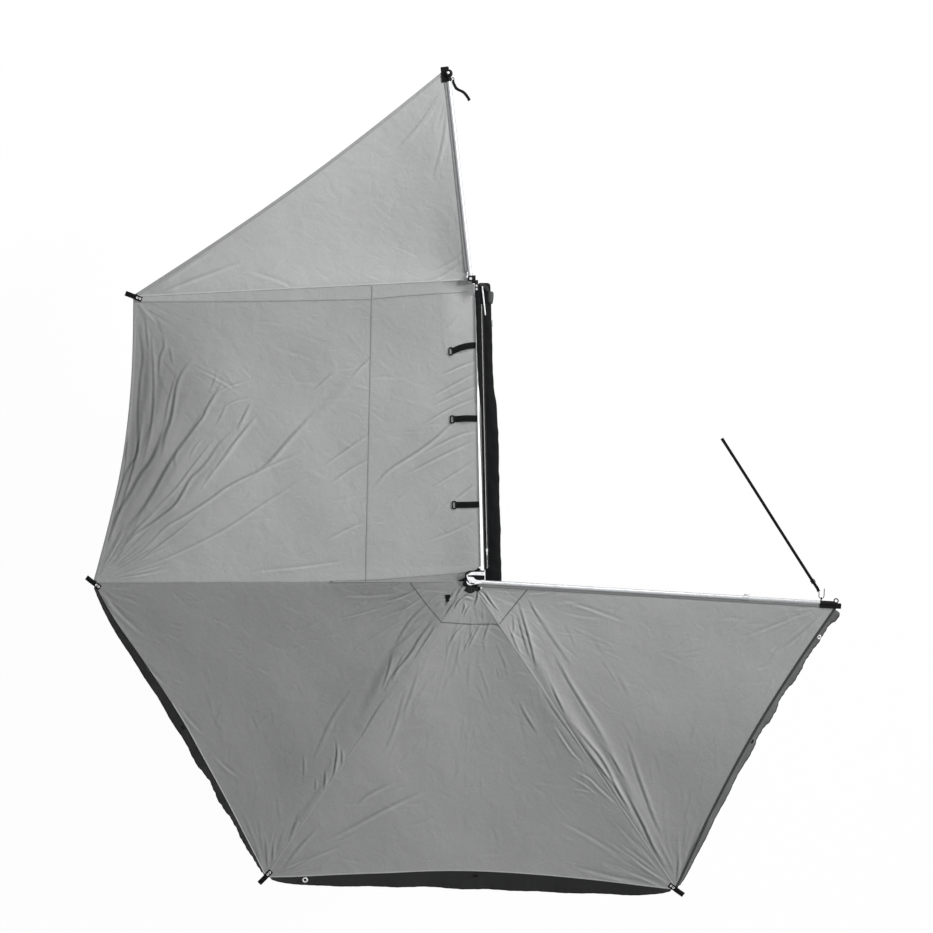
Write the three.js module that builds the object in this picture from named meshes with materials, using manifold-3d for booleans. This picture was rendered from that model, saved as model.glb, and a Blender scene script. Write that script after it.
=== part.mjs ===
// A vehicle side awning of the 270 degree kind, spread open: an aluminium base rail on three feet, a hub at
// its rear end where four arms swing on one post, a bracket at its front end that carries two more arms, and
// the canopy that the six arms hold out. Millimetres, +X towards the vehicle, +Y to its front, +Z up.
import * as THREE from "three";
import { mergeVertices } from "three/addons/utils/BufferGeometryUtils.js";
import Module from "manifold-3d";

const wasm = await Module();
wasm.setup();

// Base rail
const RAIL_LENGTH = 2440;
const RAIL_DEPTH = 30;
const RAIL_WALL = 3;
const RAIL_CORNER = 4;
const RAIL_WEBS = 3;
const RAIL_BELOW_FOOT = 30;
const KEDER_BORE = 9;
const KEDER_SLIT = 3;
const KEDER_DROP = 13;
const FLUTE_WIDTH = 12;
const FLUTE_DEPTH = 1.2;

// Feet
const FOOT_REACH = 110;
const FOOT_WIDTH = 60;
const FOOT_HEIGHT = 100;
const FOOT_THICKNESS = 6;
const FOOT_SPACING = 900;
const FOOT_SLOT_LENGTH = 34;
const FOOT_SLOT_WIDTH = 9;
const FOOT_SLOT_PLACE = 26;
const FOOT_FILLET = 6;

// Clearances
const SEAT = 0.3;
const SEWN = 0.5;
const RUNNING = 0.3;
const OVERRUN = 5;

// Arms: round telescopic tubes on stacked knuckles
const LEVEL_PITCH = 46;
const KNUCKLE_GAP = 1;
const KNUCKLE_RADIUS = 23;
const NECK_RADIUS = 20;
const NECK_LENGTH = 48;
const NECK_TAPER = 12;
const SPIGOT_LENGTH = 60;
const POST_RADIUS = 8;
const TUBE_RADIUS = 17.5;
const TUBE_WALL = 2;
const EXTENSION_PLAY = 0.5;
const EXTENSION_RADIUS = TUBE_RADIUS - TUBE_WALL - EXTENSION_PLAY;
const EXTENSION_OVERLAP = 300;
const COLLAR_WALL = 2.5;
const COLLAR_RADIUS = TUBE_RADIUS + COLLAR_WALL;
const COLLAR_LENGTH = 50;
const COLLAR_GRIP = 30;
const LUG_WIDTH = 24;
const LUG_HEIGHT = 16;
const LUG_REACH = 12;
const LEVER_LENGTH = 44;
const LEVER_THICKNESS = 4;
const CAP_WALL = 2;
const CAP_RADIUS = EXTENSION_RADIUS + CAP_WALL;
const CAP_LENGTH = 60;
const CAP_DOME = 8;
const POLE_SETBACK = 38;
const HUB_ARM_COLLAR = 2290;
const FRONT_ARM_COLLAR = 2050;

// Hub and front bracket
const PLATE_THICKNESS = 6;
const HUB_PIVOT_OUT = 90;
const HUB_PIVOT_BACK = 25;
const HUB_NOSE_RADIUS = 30;
const HUB_PLATE_FORWARD = 80;
const HUB_PLATE_SIDE = 52;
const POST_HEAD_RADIUS = 14;
const POST_HEAD_HEIGHT = 4.5;
const POST_NUT_RADIUS = 12;
const POST_NUT_HEIGHT = 9;
const FRONT_PIVOT_OUT = 32;
const FRONT_PIVOT_FORWARD = 25;
const FRONT_EAR_RADIUS = 26;
const FRONT_BASE_LENGTH = 90;
const FRONT_WEB_WIDTH = 52;

// Travel bag, folded open behind the rail
const BAG_PAST_REAR = 104.5;
const BAG_PAST_FRONT = 12.5;
const BAG_WIDTH = 138;
const BAG_HEIGHT = 75;
const BAG_BOLT_ROOM = 10;
const ZIP_WIDTH = 8;
const ZIP_HEIGHT = 3;
const ZIP_OUT = 14;
const SLIDER_LENGTH = 26;
const SLIDER_WALL = 3;
const SLIDER_FROM_END = 154;
const PULL_LENGTH = 42;
const PULL_WIDTH = 9;
const PULL_THICKNESS = 2;
const FLAP_REACH = 92;
const FLAP_WIDTH = 34;
const FLAP_THICKNESS = 3;

// Canopy and its valances
const FABRIC = 2;
const HUB_NOTCH = 115;
const FRONT_NOTCH = 60;
const RAIL_EDGE_DROP = 13;
const RAIL_REAR_CUT = 100;
const RAIL_FRONT_CUT = 100;
const SIDE_EDGE_OFFSET = 24;
const SEAM_HALF_GAP = 0.4;
const SEAM_RISE = 30;
const SECTOR_SAG = 45;
const SIDE_SAG = 35;
const VALANCE_OUT = { left: 67, rear: 158, right: 78 };
const VALANCE_DROP = 120;
const VALANCE_FOLD = 14;
const VALANCE_FOLDS = 7;

// Webbing
const TAB_LENGTH = 150;
const TAB_WIDTH = 42;
const TAB_THICKNESS = 3;
const TAB_DROOP = 16;
const TIE_LENGTH = 200;
const TIE_WIDTH = 50;
const TIE_THICKNESS = 3;
const TIE_WAVE = 9;
const TIE_RING_WIDTH = 64;
const TIE_RING_LENGTH = 30;
const TIE_RING_BAR = 6;
const TIE_SHARES = { front: 0.29, middle: 0.041, rear: -0.25 };
const GUY_WIDTH = 25;
const GUY_THICKNESS = 2.4;

// End fittings of the two outermost arms
const REAR_PLATE = { width: 43, length: 177, edge: 3 };
const FRONT_PLATE = { width: 58, length: 125, edge: 10 };
const FRONT_PLATE_PAST = 30;
const FRONT_EYE_INSET = 20;
const EYE_RADIUS = 17;
const EYE_WIRE = 5;
const HOOK_EYE_RADIUS = 11;
const HOOK_EYE_WIRE = 3.5;
const HOOK_EYE_INSET = 10.4;
const KNOB_RADIUS = 11;
const HOOK_WIRE = 3.5;
const HOOK_BEND = 21;
const HOOK_LEG = 62;
const BUCKLE_WIDTH = 38;
const BUCKLE_LENGTH = 34;
const BUCKLE_BAR = 5;
const BUCKLE_FROM_HOOK = 90;

// Sides of the faceted round shapes
const TUBE_SIDES = 20;
const BARREL_SIDES = 24;
const WIRE_SIDES = 8;
const EYE_STEPS = 20;
const SECTOR_COLUMNS = 16;
const SECTOR_ROWS = 9;

// Worked out from the sizes above
const KNUCKLE_HEIGHT = LEVEL_PITCH - KNUCKLE_GAP;
const HUB_LEVELS = 4;
const RAIL_HEIGHT = HUB_LEVELS * LEVEL_PITCH + 2 * KNUCKLE_GAP;
const RAIL_TOP = RAIL_HEIGHT / 2;
const RAIL_FRONT = -RAIL_DEPTH / 2;
const RAIL_BACK = RAIL_DEPTH / 2;
const PLATE_TOP = RAIL_TOP + SEAT + PLATE_THICKNESS;
const AWNING_X = -(FOOT_REACH / 2 + FOOT_THICKNESS + SEAT + RAIL_DEPTH / 2);
const AWNING_Z = RAIL_HEIGHT / 2 - RAIL_BELOW_FOOT;
const FRONT_LEVEL = PLATE_TOP + KNUCKLE_GAP + KNUCKLE_HEIGHT / 2;
const HUB_PIVOT = new THREE.Vector2(RAIL_FRONT - HUB_PIVOT_OUT, -RAIL_LENGTH / 2 - HUB_PIVOT_BACK);
const FRONT_PIVOT = new THREE.Vector2(RAIL_FRONT - FRONT_PIVOT_OUT, RAIL_LENGTH / 2 + FRONT_PIVOT_FORWARD);
const TUBE_BORE = TUBE_RADIUS - TUBE_WALL;
const BAG_LENGTH = RAIL_LENGTH + BAG_PAST_REAR + BAG_PAST_FRONT;
const BAG_SHIFT = (BAG_PAST_FRONT - BAG_PAST_REAR) / 2;
const BAG_BACK = RAIL_BACK + SEAT + FOOT_THICKNESS + SEWN;
const BAG_BOTTOM = FOOT_THICKNESS + BAG_BOLT_ROOM - AWNING_Z;
const BAG_TOP = BAG_BOTTOM + BAG_HEIGHT;
const ZIP_X = BAG_BACK + ZIP_OUT + ZIP_WIDTH / 2;

// The six arms, from the front tip round to the rear: where each swings, how high its level is, which way it
// points, how far out the canopy's corner is, and how the corner tab is turned against it and stands off it.
const ARMS = {
  arm1: { pivot: FRONT_PIVOT, level: FRONT_LEVEL + LEVEL_PITCH, azimuth: 95, reach: 1725 },
  arm2: { pivot: FRONT_PIVOT, level: FRONT_LEVEL, azimuth: 181.6, reach: 2779, tabTurn: -24, tabLift: 0.5 },
  arm3: { pivot: HUB_PIVOT, level: -1.5 * LEVEL_PITCH, azimuth: 179.1, reach: 3153, tabTurn: -36, tabLift: 2.5 },
  arm4: { pivot: HUB_PIVOT, level: -0.5 * LEVEL_PITCH, azimuth: 234.1, reach: 3006, tabTurn: -9, tabLift: 0.5 },
  arm5: { pivot: HUB_PIVOT, level: 0.5 * LEVEL_PITCH, azimuth: 302.5, reach: 3084, tabTurn: 19, tabLift: 0.6 },
  arm6: { pivot: HUB_PIVOT, level: 1.5 * LEVEL_PITCH, azimuth: 355.3, reach: 3051 },
};

const MATERIALS = {
  aluminium: new THREE.MeshStandardMaterial({ color: 0xd2d4d6, roughness: 0.32, metalness: 0.95 }),
  castAluminium: new THREE.MeshStandardMaterial({ color: 0xb9bcbe, roughness: 0.5, metalness: 0.9 }),
  steel: new THREE.MeshStandardMaterial({ color: 0xa9abad, roughness: 0.35, metalness: 1 }),
  blackSteel: new THREE.MeshStandardMaterial({ color: 0x15161a, roughness: 0.5, metalness: 0.3 }),
  blackPlastic: new THREE.MeshStandardMaterial({ color: 0x111214, roughness: 0.55, metalness: 0 }),
  greyFabric: new THREE.MeshStandardMaterial({ color: 0x85898a, roughness: 0.9, metalness: 0 }),
  blackFabric: new THREE.MeshStandardMaterial({ color: 0x1b1c1e, roughness: 0.85, metalness: 0 }),
  blackWebbing: new THREE.MeshStandardMaterial({ color: 0x0e0f10, roughness: 0.8, metalness: 0 }),
};

// A closed geometry as a solid with its faces pointing out.
function solid(geometry) {
  geometry.deleteAttribute("normal");
  geometry.deleteAttribute("uv");
  const merged = mergeVertices(geometry, 1e-4);
  const vertProperties = merged.attributes.position.array;
  const triVerts = new Uint32Array(merged.index.array);
  const made = new wasm.Manifold(new wasm.Mesh({ numProp: 3, vertProperties, triVerts }));
  if (made.volume() > 0) return made;
  return new wasm.Manifold(new wasm.Mesh({ numProp: 3, vertProperties, triVerts: triVerts.reverse() }));
}

// A solid as a named mesh.
function node(name, material, made) {
  const shape = made.getMesh();
  const geometry = new THREE.BufferGeometry();
  geometry.setAttribute("position", new THREE.BufferAttribute(shape.vertProperties, 3));
  geometry.setIndex(new THREE.BufferAttribute(shape.triVerts, 1));
  geometry.computeVertexNormals();
  const mesh = new THREE.Mesh(geometry, material);
  mesh.name = name;
  return mesh;
}

const UP = new THREE.Vector3(0, 0, 1);
const ALONG_X = new THREE.Matrix4().makeBasis(new THREE.Vector3(0, 1, 0), UP, new THREE.Vector3(1, 0, 0));

function extrudeUp(shape, low, high) {
  const geometry = new THREE.ExtrudeGeometry(shape, { depth: high - low, bevelEnabled: false });
  return solid(geometry.translate(0, 0, low));
}

// The shape's x and y become y and z, and it runs from one x to the other.
function extrudeAlongX(shape, from, to) {
  const geometry = new THREE.ExtrudeGeometry(shape, { depth: to - from, bevelEnabled: false });
  return solid(geometry.applyMatrix4(ALONG_X).translate(from, 0, 0));
}

// The shape's x and y become x and z, and it runs from one y to the other.
function extrudeAlongY(shape, from, to) {
  const geometry = new THREE.ExtrudeGeometry(shape, { depth: to - from, bevelEnabled: false });
  return solid(geometry.rotateX(Math.PI / 2).translate(0, to, 0));
}

function polygon(points) {
  return new THREE.Shape(points.map(([x, y]) => new THREE.Vector2(x, y)));
}

function circlePoints(radius, sides, x = 0, y = 0) {
  return Array.from({ length: sides }, (_, i) => {
    const angle = (2 * Math.PI * (i + 0.5)) / sides;
    return [x + radius * Math.cos(angle), y + radius * Math.sin(angle)];
  });
}

function disc(radius, sides, x = 0, y = 0) {
  return polygon(circlePoints(radius, sides, x, y));
}

function ring(outer, inner, sides) {
  const shape = disc(outer, sides);
  shape.holes.push(disc(inner, sides));
  return shape;
}

function rectangle(x0, y0, x1, y1) {
  return polygon([[x0, y0], [x1, y0], [x1, y1], [x0, y1]]);
}

function roundedRectangle(x0, y0, x1, y1, radius, steps = 3) {
  const corners = [[x1, y1, 0], [x0, y1, 1], [x0, y0, 2], [x1, y0, 3]];
  const points = corners.flatMap(([x, y, quarter]) =>
    Array.from({ length: steps + 1 }, (_, i) => {
      const angle = (Math.PI / 2) * (quarter + i / steps);
      const cx = x === x1 ? x1 - radius : x0 + radius;
      const cy = y === y1 ? y1 - radius : y0 + radius;
      return [cx + radius * Math.cos(angle), cy + radius * Math.sin(angle)];
    }),
  );
  return polygon(points);
}

function box(x0, y0, z0, x1, y1, z1) {
  return extrudeUp(rectangle(x0, y0, x1, y1), z0, z1);
}

// A profile of [radius, place along x] points turned about the x axis.
function turnedAlongX(profile, sides) {
  const points = profile.map(([radius, along]) => new THREE.Vector2(radius, along));
  return solid(new THREE.LatheGeometry(points, sides).rotateZ(-Math.PI / 2));
}

// A profile of [radius, height] points turned about the z axis.
function turnedUp(profile, sides) {
  const points = profile.map(([radius, height]) => new THREE.Vector2(radius, height));
  return solid(new THREE.LatheGeometry(points, sides).rotateX(Math.PI / 2));
}

function closedProfile(points) {
  return [...points, points[0]];
}

// A section of [x, y] points drawn along a list of places.
function drawn(section, places, steps) {
  const path = new THREE.CatmullRomCurve3(places.map(([x, y, z]) => new THREE.Vector3(x, y, z)));
  return solid(new THREE.ExtrudeGeometry(polygon(section), { steps, extrudePath: path }));
}

function torus(radius, wire, steps) {
  return solid(new THREE.TorusGeometry(radius, wire, WIRE_SIDES, steps));
}

// A closed sheet through the points of pointAt(across, along), both shares from 0 to 1, thickened along its
// mean normal.
function sheet(pointAt, columns, rows, thickness) {
  const places = [];
  for (let row = 0; row <= rows; row += 1)
    for (let column = 0; column <= columns; column += 1) places.push(pointAt(column / columns, row / rows));
  const width = columns + 1;
  const across = places[columns].clone().sub(places[0]);
  const along = places[rows * width].clone().sub(places[0]);
  const far = places[rows * width + columns].clone().sub(places[0]);
  const normal = across.clone().cross(far).add(far.clone().cross(along)).normalize();
  if (normal.dot(UP) < 0) normal.negate();
  const lifted = places.map((place) => place.clone().addScaledVector(normal, thickness));
  const positions = [...places, ...lifted].flatMap((place) => place.toArray());
  const top = places.length;
  const faces = [];
  const quad = (a, b, c, d) => faces.push(a, b, c, a, c, d);
  for (let row = 0; row < rows; row += 1)
    for (let column = 0; column < columns; column += 1) {
      const a = row * width + column;
      quad(a, a + width, a + width + 1, a + 1);
      quad(top + a, top + a + 1, top + a + width + 1, top + a + width);
    }
  const rim = [];
  for (let column = 0; column < columns; column += 1) rim.push(column);
  for (let row = 0; row < rows; row += 1) rim.push(row * width + columns);
  for (let column = columns; column > 0; column -= 1) rim.push(rows * width + column);
  for (let row = rows; row > 0; row -= 1) rim.push(row * width);
  rim.forEach((a, i) => {
    const b = rim[(i + 1) % rim.length];
    quad(a, b, top + b, top + a);
  });
  const geometry = new THREE.BufferGeometry();
  geometry.setAttribute("position", new THREE.BufferAttribute(new Float32Array(positions), 3));
  geometry.setIndex(faces);
  return solid(geometry);
}

// The rail: a hollow extrusion with cross webs, a keder groove near the top of its outer face and two
// shallow flutes.
function baseRail() {
  const section = roundedRectangle(RAIL_FRONT, -RAIL_TOP, RAIL_BACK, RAIL_TOP, RAIL_CORNER);
  const grooveFloor = RAIL_TOP - KEDER_DROP - KEDER_BORE / 2 - 2 * RAIL_WALL;
  const chamberHeight = (grooveFloor + RAIL_TOP - RAIL_WALL * (RAIL_WEBS + 1)) / RAIL_WEBS;
  for (let i = 0; i < RAIL_WEBS; i += 1) {
    const low = -RAIL_TOP + RAIL_WALL + i * (chamberHeight + RAIL_WALL);
    const left = RAIL_FRONT + RAIL_WALL;
    section.holes.push(rectangle(left, low, RAIL_BACK - RAIL_WALL, low + chamberHeight));
  }
  let rail = extrudeAlongY(section, -RAIL_LENGTH / 2, RAIL_LENGTH / 2);
  const ends = [-RAIL_LENGTH / 2 - OVERRUN, RAIL_LENGTH / 2 + OVERRUN];
  const kederZ = RAIL_TOP - KEDER_DROP;
  const kederX = RAIL_FRONT + RAIL_WALL + KEDER_BORE / 2;
  rail = rail.subtract(extrudeAlongY(disc(KEDER_BORE / 2, WIRE_SIDES, kederX, kederZ), ...ends));
  const slit = [RAIL_FRONT - OVERRUN, kederZ - KEDER_SLIT / 2, kederX, kederZ + KEDER_SLIT / 2];
  rail = rail.subtract(extrudeAlongY(rectangle(...slit), ...ends));
  for (const side of [-1, 1]) {
    const middle = (side * RAIL_HEIGHT) / 6 - FLUTE_WIDTH;
    const inside = RAIL_FRONT + FLUTE_DEPTH;
    const flute = [RAIL_FRONT - OVERRUN, middle - FLUTE_WIDTH / 2, inside, middle + FLUTE_WIDTH / 2];
    rail = rail.subtract(extrudeAlongY(rectangle(...flute), ...ends));
  }
  return rail;
}

// A foot: an angle bolted to the rail's back, with a slot for the bolt into the roof bar. It is drawn in the
// whole part's frame, its underside at z = 0.
function foot(place) {
  const left = -FOOT_REACH / 2 - FOOT_THICKNESS;
  const inner = left + FOOT_THICKNESS;
  const right = FOOT_REACH / 2;
  const angle = polygon([
    [left, 0], [right, 0], [right, FOOT_THICKNESS], [inner + FOOT_FILLET, FOOT_THICKNESS],
    [inner, FOOT_THICKNESS + FOOT_FILLET], [inner, FOOT_HEIGHT], [left, FOOT_HEIGHT],
  ]);
  const made = extrudeAlongY(angle, place - FOOT_WIDTH / 2, place + FOOT_WIDTH / 2);
  const slotEnd = FOOT_SLOT_PLACE + FOOT_SLOT_LENGTH / 2;
  const slotStart = FOOT_SLOT_PLACE - FOOT_SLOT_LENGTH / 2;
  const half = FOOT_SLOT_WIDTH / 2;
  const slot = roundedRectangle(slotStart, place - half, slotEnd, place + half, half);
  return made.subtract(extrudeUp(slot, -OVERRUN, FOOT_THICKNESS + OVERRUN));
}

// A hub plate lies on the rail's end and reaches out to the post.
function hubPlate(low) {
  const { x, y } = HUB_PIVOT;
  const nose = Array.from({ length: 9 }, (_, i) => {
    const angle = Math.PI * (0.78 + (0.72 * i) / 8);
    return [x + HUB_NOSE_RADIUS * Math.cos(angle), y + HUB_NOSE_RADIUS * Math.sin(angle)];
  });
  const outline = polygon([
    [RAIL_BACK, y + HUB_PLATE_FORWARD],
    [x + HUB_NOSE_RADIUS / 2, y + HUB_PLATE_FORWARD],
    [x - HUB_NOSE_RADIUS, y + HUB_PLATE_SIDE],
    ...nose,
    [RAIL_FRONT, y - HUB_NOSE_RADIUS / 2],
    [RAIL_BACK, y],
  ]);
  outline.holes.push(disc(POST_RADIUS + RUNNING, BARREL_SIDES, x, y));
  return extrudeUp(outline, low, low + PLATE_THICKNESS);
}

// A post: a headed bolt with its nut, through a stack that runs from low to high.
function post(pivot, low, high) {
  const profile = [
    [0, low - SEAT - POST_NUT_HEIGHT],
    [POST_NUT_RADIUS, low - SEAT - POST_NUT_HEIGHT],
    [POST_NUT_RADIUS, low - SEAT],
    [POST_RADIUS, low - SEAT],
    [POST_RADIUS, high + SEAT],
    [POST_HEAD_RADIUS, high + SEAT],
    [POST_HEAD_RADIUS * 0.8, high + SEAT + POST_HEAD_HEIGHT],
    [0, high + SEAT + POST_HEAD_HEIGHT],
  ];
  return turnedUp(profile, BARREL_SIDES).translate([pivot.x, pivot.y, 0]);
}

// The front bracket: a base on the rail's top, a web beside the knuckles and an ear above and below them.
const FRONT_EAR_LOW = RAIL_TOP + SEAT;
const FRONT_EAR_HIGH = ARMS.arm1.level + KNUCKLE_HEIGHT / 2 + KNUCKLE_GAP;
function frontBracket() {
  const { x, y } = FRONT_PIVOT;
  const webX = RAIL_FRONT + PLATE_THICKNESS / 2;
  const ear = (low) => {
    const tongue = rectangle(x, y - FRONT_EAR_RADIUS, webX + PLATE_THICKNESS, y + FRONT_EAR_RADIUS);
    const round = extrudeUp(disc(FRONT_EAR_RADIUS, BARREL_SIDES, x, y), low, low + PLATE_THICKNESS);
    return round.add(extrudeUp(tongue, low, low + PLATE_THICKNESS));
  };
  const base = [webX, y - FRONT_BASE_LENGTH, FRONT_EAR_LOW, RAIL_BACK, y, PLATE_TOP];
  const webLow = y - FRONT_WEB_WIDTH / 2;
  const web = [webX, webLow, FRONT_EAR_LOW, webX + PLATE_THICKNESS, webLow + FRONT_WEB_WIDTH];
  let made = ear(FRONT_EAR_LOW).add(ear(FRONT_EAR_HIGH)).add(box(...base));
  made = made.add(box(...web, FRONT_EAR_HIGH + PLATE_THICKNESS));
  const bore = disc(POST_RADIUS + RUNNING, BARREL_SIDES, x, y);
  return made.subtract(extrudeUp(bore, FRONT_EAR_LOW - OVERRUN, FRONT_EAR_HIGH + PLATE_THICKNESS + OVERRUN));
}

// A knuckle: the barrel that swings on the post, its neck and the spigot that the tube is fixed on.
function knuckle() {
  const half = KNUCKLE_HEIGHT / 2;
  const barrel = extrudeUp(disc(KNUCKLE_RADIUS, BARREL_SIDES), -half, half);
  const spigot = TUBE_BORE - RUNNING;
  const neck = turnedAlongX(
    [
      [0, 0],
      [NECK_RADIUS, 0],
      [NECK_RADIUS, NECK_LENGTH - NECK_TAPER],
      [TUBE_RADIUS, NECK_LENGTH],
      [spigot, NECK_LENGTH],
      [spigot, NECK_LENGTH + SPIGOT_LENGTH],
      [0, NECK_LENGTH + SPIGOT_LENGTH],
    ],
    TUBE_SIDES,
  );
  const bore = extrudeUp(disc(POST_RADIUS + RUNNING, BARREL_SIDES), -half - OVERRUN, half + OVERRUN);
  return barrel.add(neck).subtract(bore);
}

function tube(radius, from, to) {
  return extrudeAlongX(ring(radius, radius - TUBE_WALL, TUBE_SIDES), from, to);
}

// The locking collar grips the outer tube's end and clamps the extension with a cam lever.
function collar(tubeEnd) {
  const start = tubeEnd - COLLAR_GRIP;
  const overTube = TUBE_RADIUS + RUNNING;
  const overExtension = EXTENSION_RADIUS + RUNNING;
  const shell = turnedAlongX(
    closedProfile([
      [overTube, start],
      [COLLAR_RADIUS, start],
      [COLLAR_RADIUS, start + COLLAR_LENGTH - RAIL_WALL],
      [COLLAR_RADIUS - RAIL_WALL, start + COLLAR_LENGTH],
      [overExtension, start + COLLAR_LENGTH],
      [overExtension, tubeEnd + SEAT],
      [overTube, tubeEnd + SEAT],
    ]),
    TUBE_SIDES,
  );
  const lugStart = start + (COLLAR_LENGTH - LUG_WIDTH) / 2;
  const lugTip = COLLAR_RADIUS + LUG_REACH;
  const lug = [lugStart, overTube + RUNNING / 2, -LUG_HEIGHT / 2, lugStart + LUG_WIDTH, lugTip];
  const lever = [lugStart, lugTip - LEVER_THICKNESS, -LUG_HEIGHT / 2, lugStart + LEVER_LENGTH, lugTip];
  return shell.add(box(...lug, LUG_HEIGHT / 2)).add(box(...lever, LUG_HEIGHT / 2));
}

// The cap over the extension's end, which slips into the canopy's corner.
function tipCap(tubeEnd) {
  const bore = EXTENSION_RADIUS + RUNNING;
  return turnedAlongX(
    [
      [0, tubeEnd + SEAT],
      [bore, tubeEnd + SEAT],
      [bore, tubeEnd - CAP_LENGTH],
      [CAP_RADIUS, tubeEnd - CAP_LENGTH],
      [CAP_RADIUS, tubeEnd],
      [CAP_RADIUS * 0.8, tubeEnd + CAP_DOME * 0.7],
      [0, tubeEnd + CAP_DOME],
    ],
    TUBE_SIDES,
  );
}

// The height of the canopy's underside over an arm, at its corner and by the hub.
function tipHeight(arm) {
  return arm.level + CAP_RADIUS + SEWN;
}
const HUB_EDGE_HEIGHT = ARMS.arm5.level + SEAM_RISE;
const FRONT_EDGE_HEIGHT = ARMS.arm2.level + SEAM_RISE;

// A webbing tab on the canopy's corner, tilted as the canopy is there, half of it hanging past the edge.
function cornerTab(arm) {
  const low = tipHeight(arm) + FABRIC + arm.tabLift - arm.level;
  const half = TAB_LENGTH / 2;
  const lowerLine = [[-half, 0], [0, 0], [half / 2, -TAB_DROOP / 4], [half, -TAB_DROOP]];
  const upperLine = lowerLine.map(([x, y]) => [x, y + TAB_THICKNESS]).reverse();
  const made = extrudeAlongY(polygon([...lowerLine, ...upperLine]), -TAB_WIDTH / 2, TAB_WIDTH / 2);
  const seamTop = arm.pivot === HUB_PIVOT ? HUB_EDGE_HEIGHT : FRONT_EDGE_HEIGHT;
  const tilt = Math.atan2(seamTop - tipHeight(arm), arm.reach);
  const turned = made.rotate([0, 0, arm.tabTurn]).rotate([0, THREE.MathUtils.radToDeg(tilt), 0]);
  return turned.translate([arm.reach, 0, low]);
}

// The fitting on the outer end of an arm with the canopy's edge along it: a sleeve over the tube, a plate
// that clamps the corner of the fabric on one side, and an eye on the other.
function endFitting({ radius, tubeEnd, plate, plateTo, side, eye }) {
  const bore = radius + RUNNING;
  const outer = bore + TUBE_WALL;
  const start = plateTo - plate.length;
  const sleeve = turnedAlongX(
    [
      [0, start],
      [outer, start],
      [outer, tubeEnd],
      [outer - RAIL_WALL, tubeEnd + CAP_DOME],
      [0, tubeEnd + CAP_DOME],
    ],
    TUBE_SIDES,
  );
  const low = FABRIC + SEWN + SEAT;
  const edges = [side * plate.width, -side * plate.edge].sort((a, b) => a - b);
  const bar = roundedRectangle(start, edges[0], plateTo, edges[1], EYE_WIRE * 1.5);
  const loop = torus(eye.radius, eye.wire, EYE_STEPS).translate([eye.along, -side * eye.out, eye.rise]);
  const made = sleeve.add(extrudeUp(bar, low, low + PLATE_THICKNESS)).add(loop);
  return made.subtract(extrudeAlongX(disc(bore, TUBE_SIDES), start - OVERRUN, tubeEnd + SEAT));
}

// Where the two outer arms' end fittings end, and the front strap's eye.
const FRONT_PLATE_END = ARMS.arm1.reach + FRONT_PLATE_PAST;
const FRONT_EYE_PLACE = FRONT_PLATE_END - FRONT_PLATE.length + FRONT_EYE_INSET;
const FRONT_EYE_SIDE = TUBE_RADIUS + RUNNING + SEAT + HOOK_EYE_RADIUS + HOOK_EYE_WIRE;
const REAR_PLATE_END = ARMS.arm6.reach + POLE_SETBACK * 0.7;

// A small upright eye beside the last arm, which the guy strap's hook hangs in.
const HOOK_EYE_PLACE = REAR_PLATE_END - REAR_PLATE.length + HOOK_EYE_INSET;
const HOOK_EYE_SIDE = EXTENSION_RADIUS + RUNNING + SEAT + HOOK_EYE_RADIUS + HOOK_EYE_WIRE;
function hookEye() {
  return torus(HOOK_EYE_RADIUS, HOOK_EYE_WIRE, EYE_STEPS)
    .rotate([0, 90, 0])
    .translate([HOOK_EYE_PLACE, HOOK_EYE_SIDE, 0]);
}

// The open hook: a bend through the eye with one leg to the strap and one free leg.
function guyHook() {
  const taut = HOOK_EYE_RADIUS - HOOK_EYE_WIRE - HOOK_WIRE - SEAT;
  const bendCentre = HOOK_EYE_SIDE + taut + HOOK_BEND;
  const places = [[HOOK_EYE_PLACE - HOOK_BEND - HOOK_BEND / 2, bendCentre + HOOK_LEG * 0.8, 0]];
  places.push([HOOK_EYE_PLACE - HOOK_BEND, bendCentre + HOOK_LEG * 0.35, 0]);
  for (let i = 0; i <= 6; i += 1) {
    const angle = Math.PI * (1 + i / 6);
    const x = HOOK_EYE_PLACE + HOOK_BEND * Math.cos(angle);
    places.push([x, bendCentre + HOOK_BEND * Math.sin(angle), 0]);
  }
  places.push([HOOK_EYE_PLACE + HOOK_BEND, bendCentre + HOOK_LEG / 2, 0]);
  places.push([HOOK_EYE_PLACE + HOOK_BEND, bendCentre + HOOK_LEG, 0]);
  return drawn(circlePoints(HOOK_WIRE, WIRE_SIDES), places, 26);
}

// A ladder buckle: a frame with a middle bar, on the strap just past the hook.
function buckle() {
  const halfLength = BUCKLE_LENGTH / 2;
  const halfWidth = BUCKLE_WIDTH / 2;
  const low = SEWN + GUY_THICKNESS / 2;
  const high = low + BUCKLE_BAR;
  let made = extrudeUp(roundedRectangle(-halfLength, -halfWidth, halfLength, halfWidth, BUCKLE_BAR), low, high);
  for (const side of [-1, 1]) {
    const near = (side * BUCKLE_BAR) / 2;
    const far = side * (halfLength - BUCKLE_BAR);
    const window = [Math.min(near, far), BUCKLE_BAR - halfWidth, low - OVERRUN, Math.max(near, far)];
    made = made.subtract(box(...window, halfWidth - BUCKLE_BAR, high + OVERRUN));
  }
  return made;
}

// A place beside an arm, in the awning's frame: out along it, to its left and at a height.
function beside(arm, out, left, height) {
  const angle = THREE.MathUtils.degToRad(arm.azimuth);
  const x = arm.pivot.x + out * Math.cos(angle) - left * Math.sin(angle);
  const y = arm.pivot.y + out * Math.sin(angle) + left * Math.cos(angle);
  return new THREE.Vector3(x, y, height);
}

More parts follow.
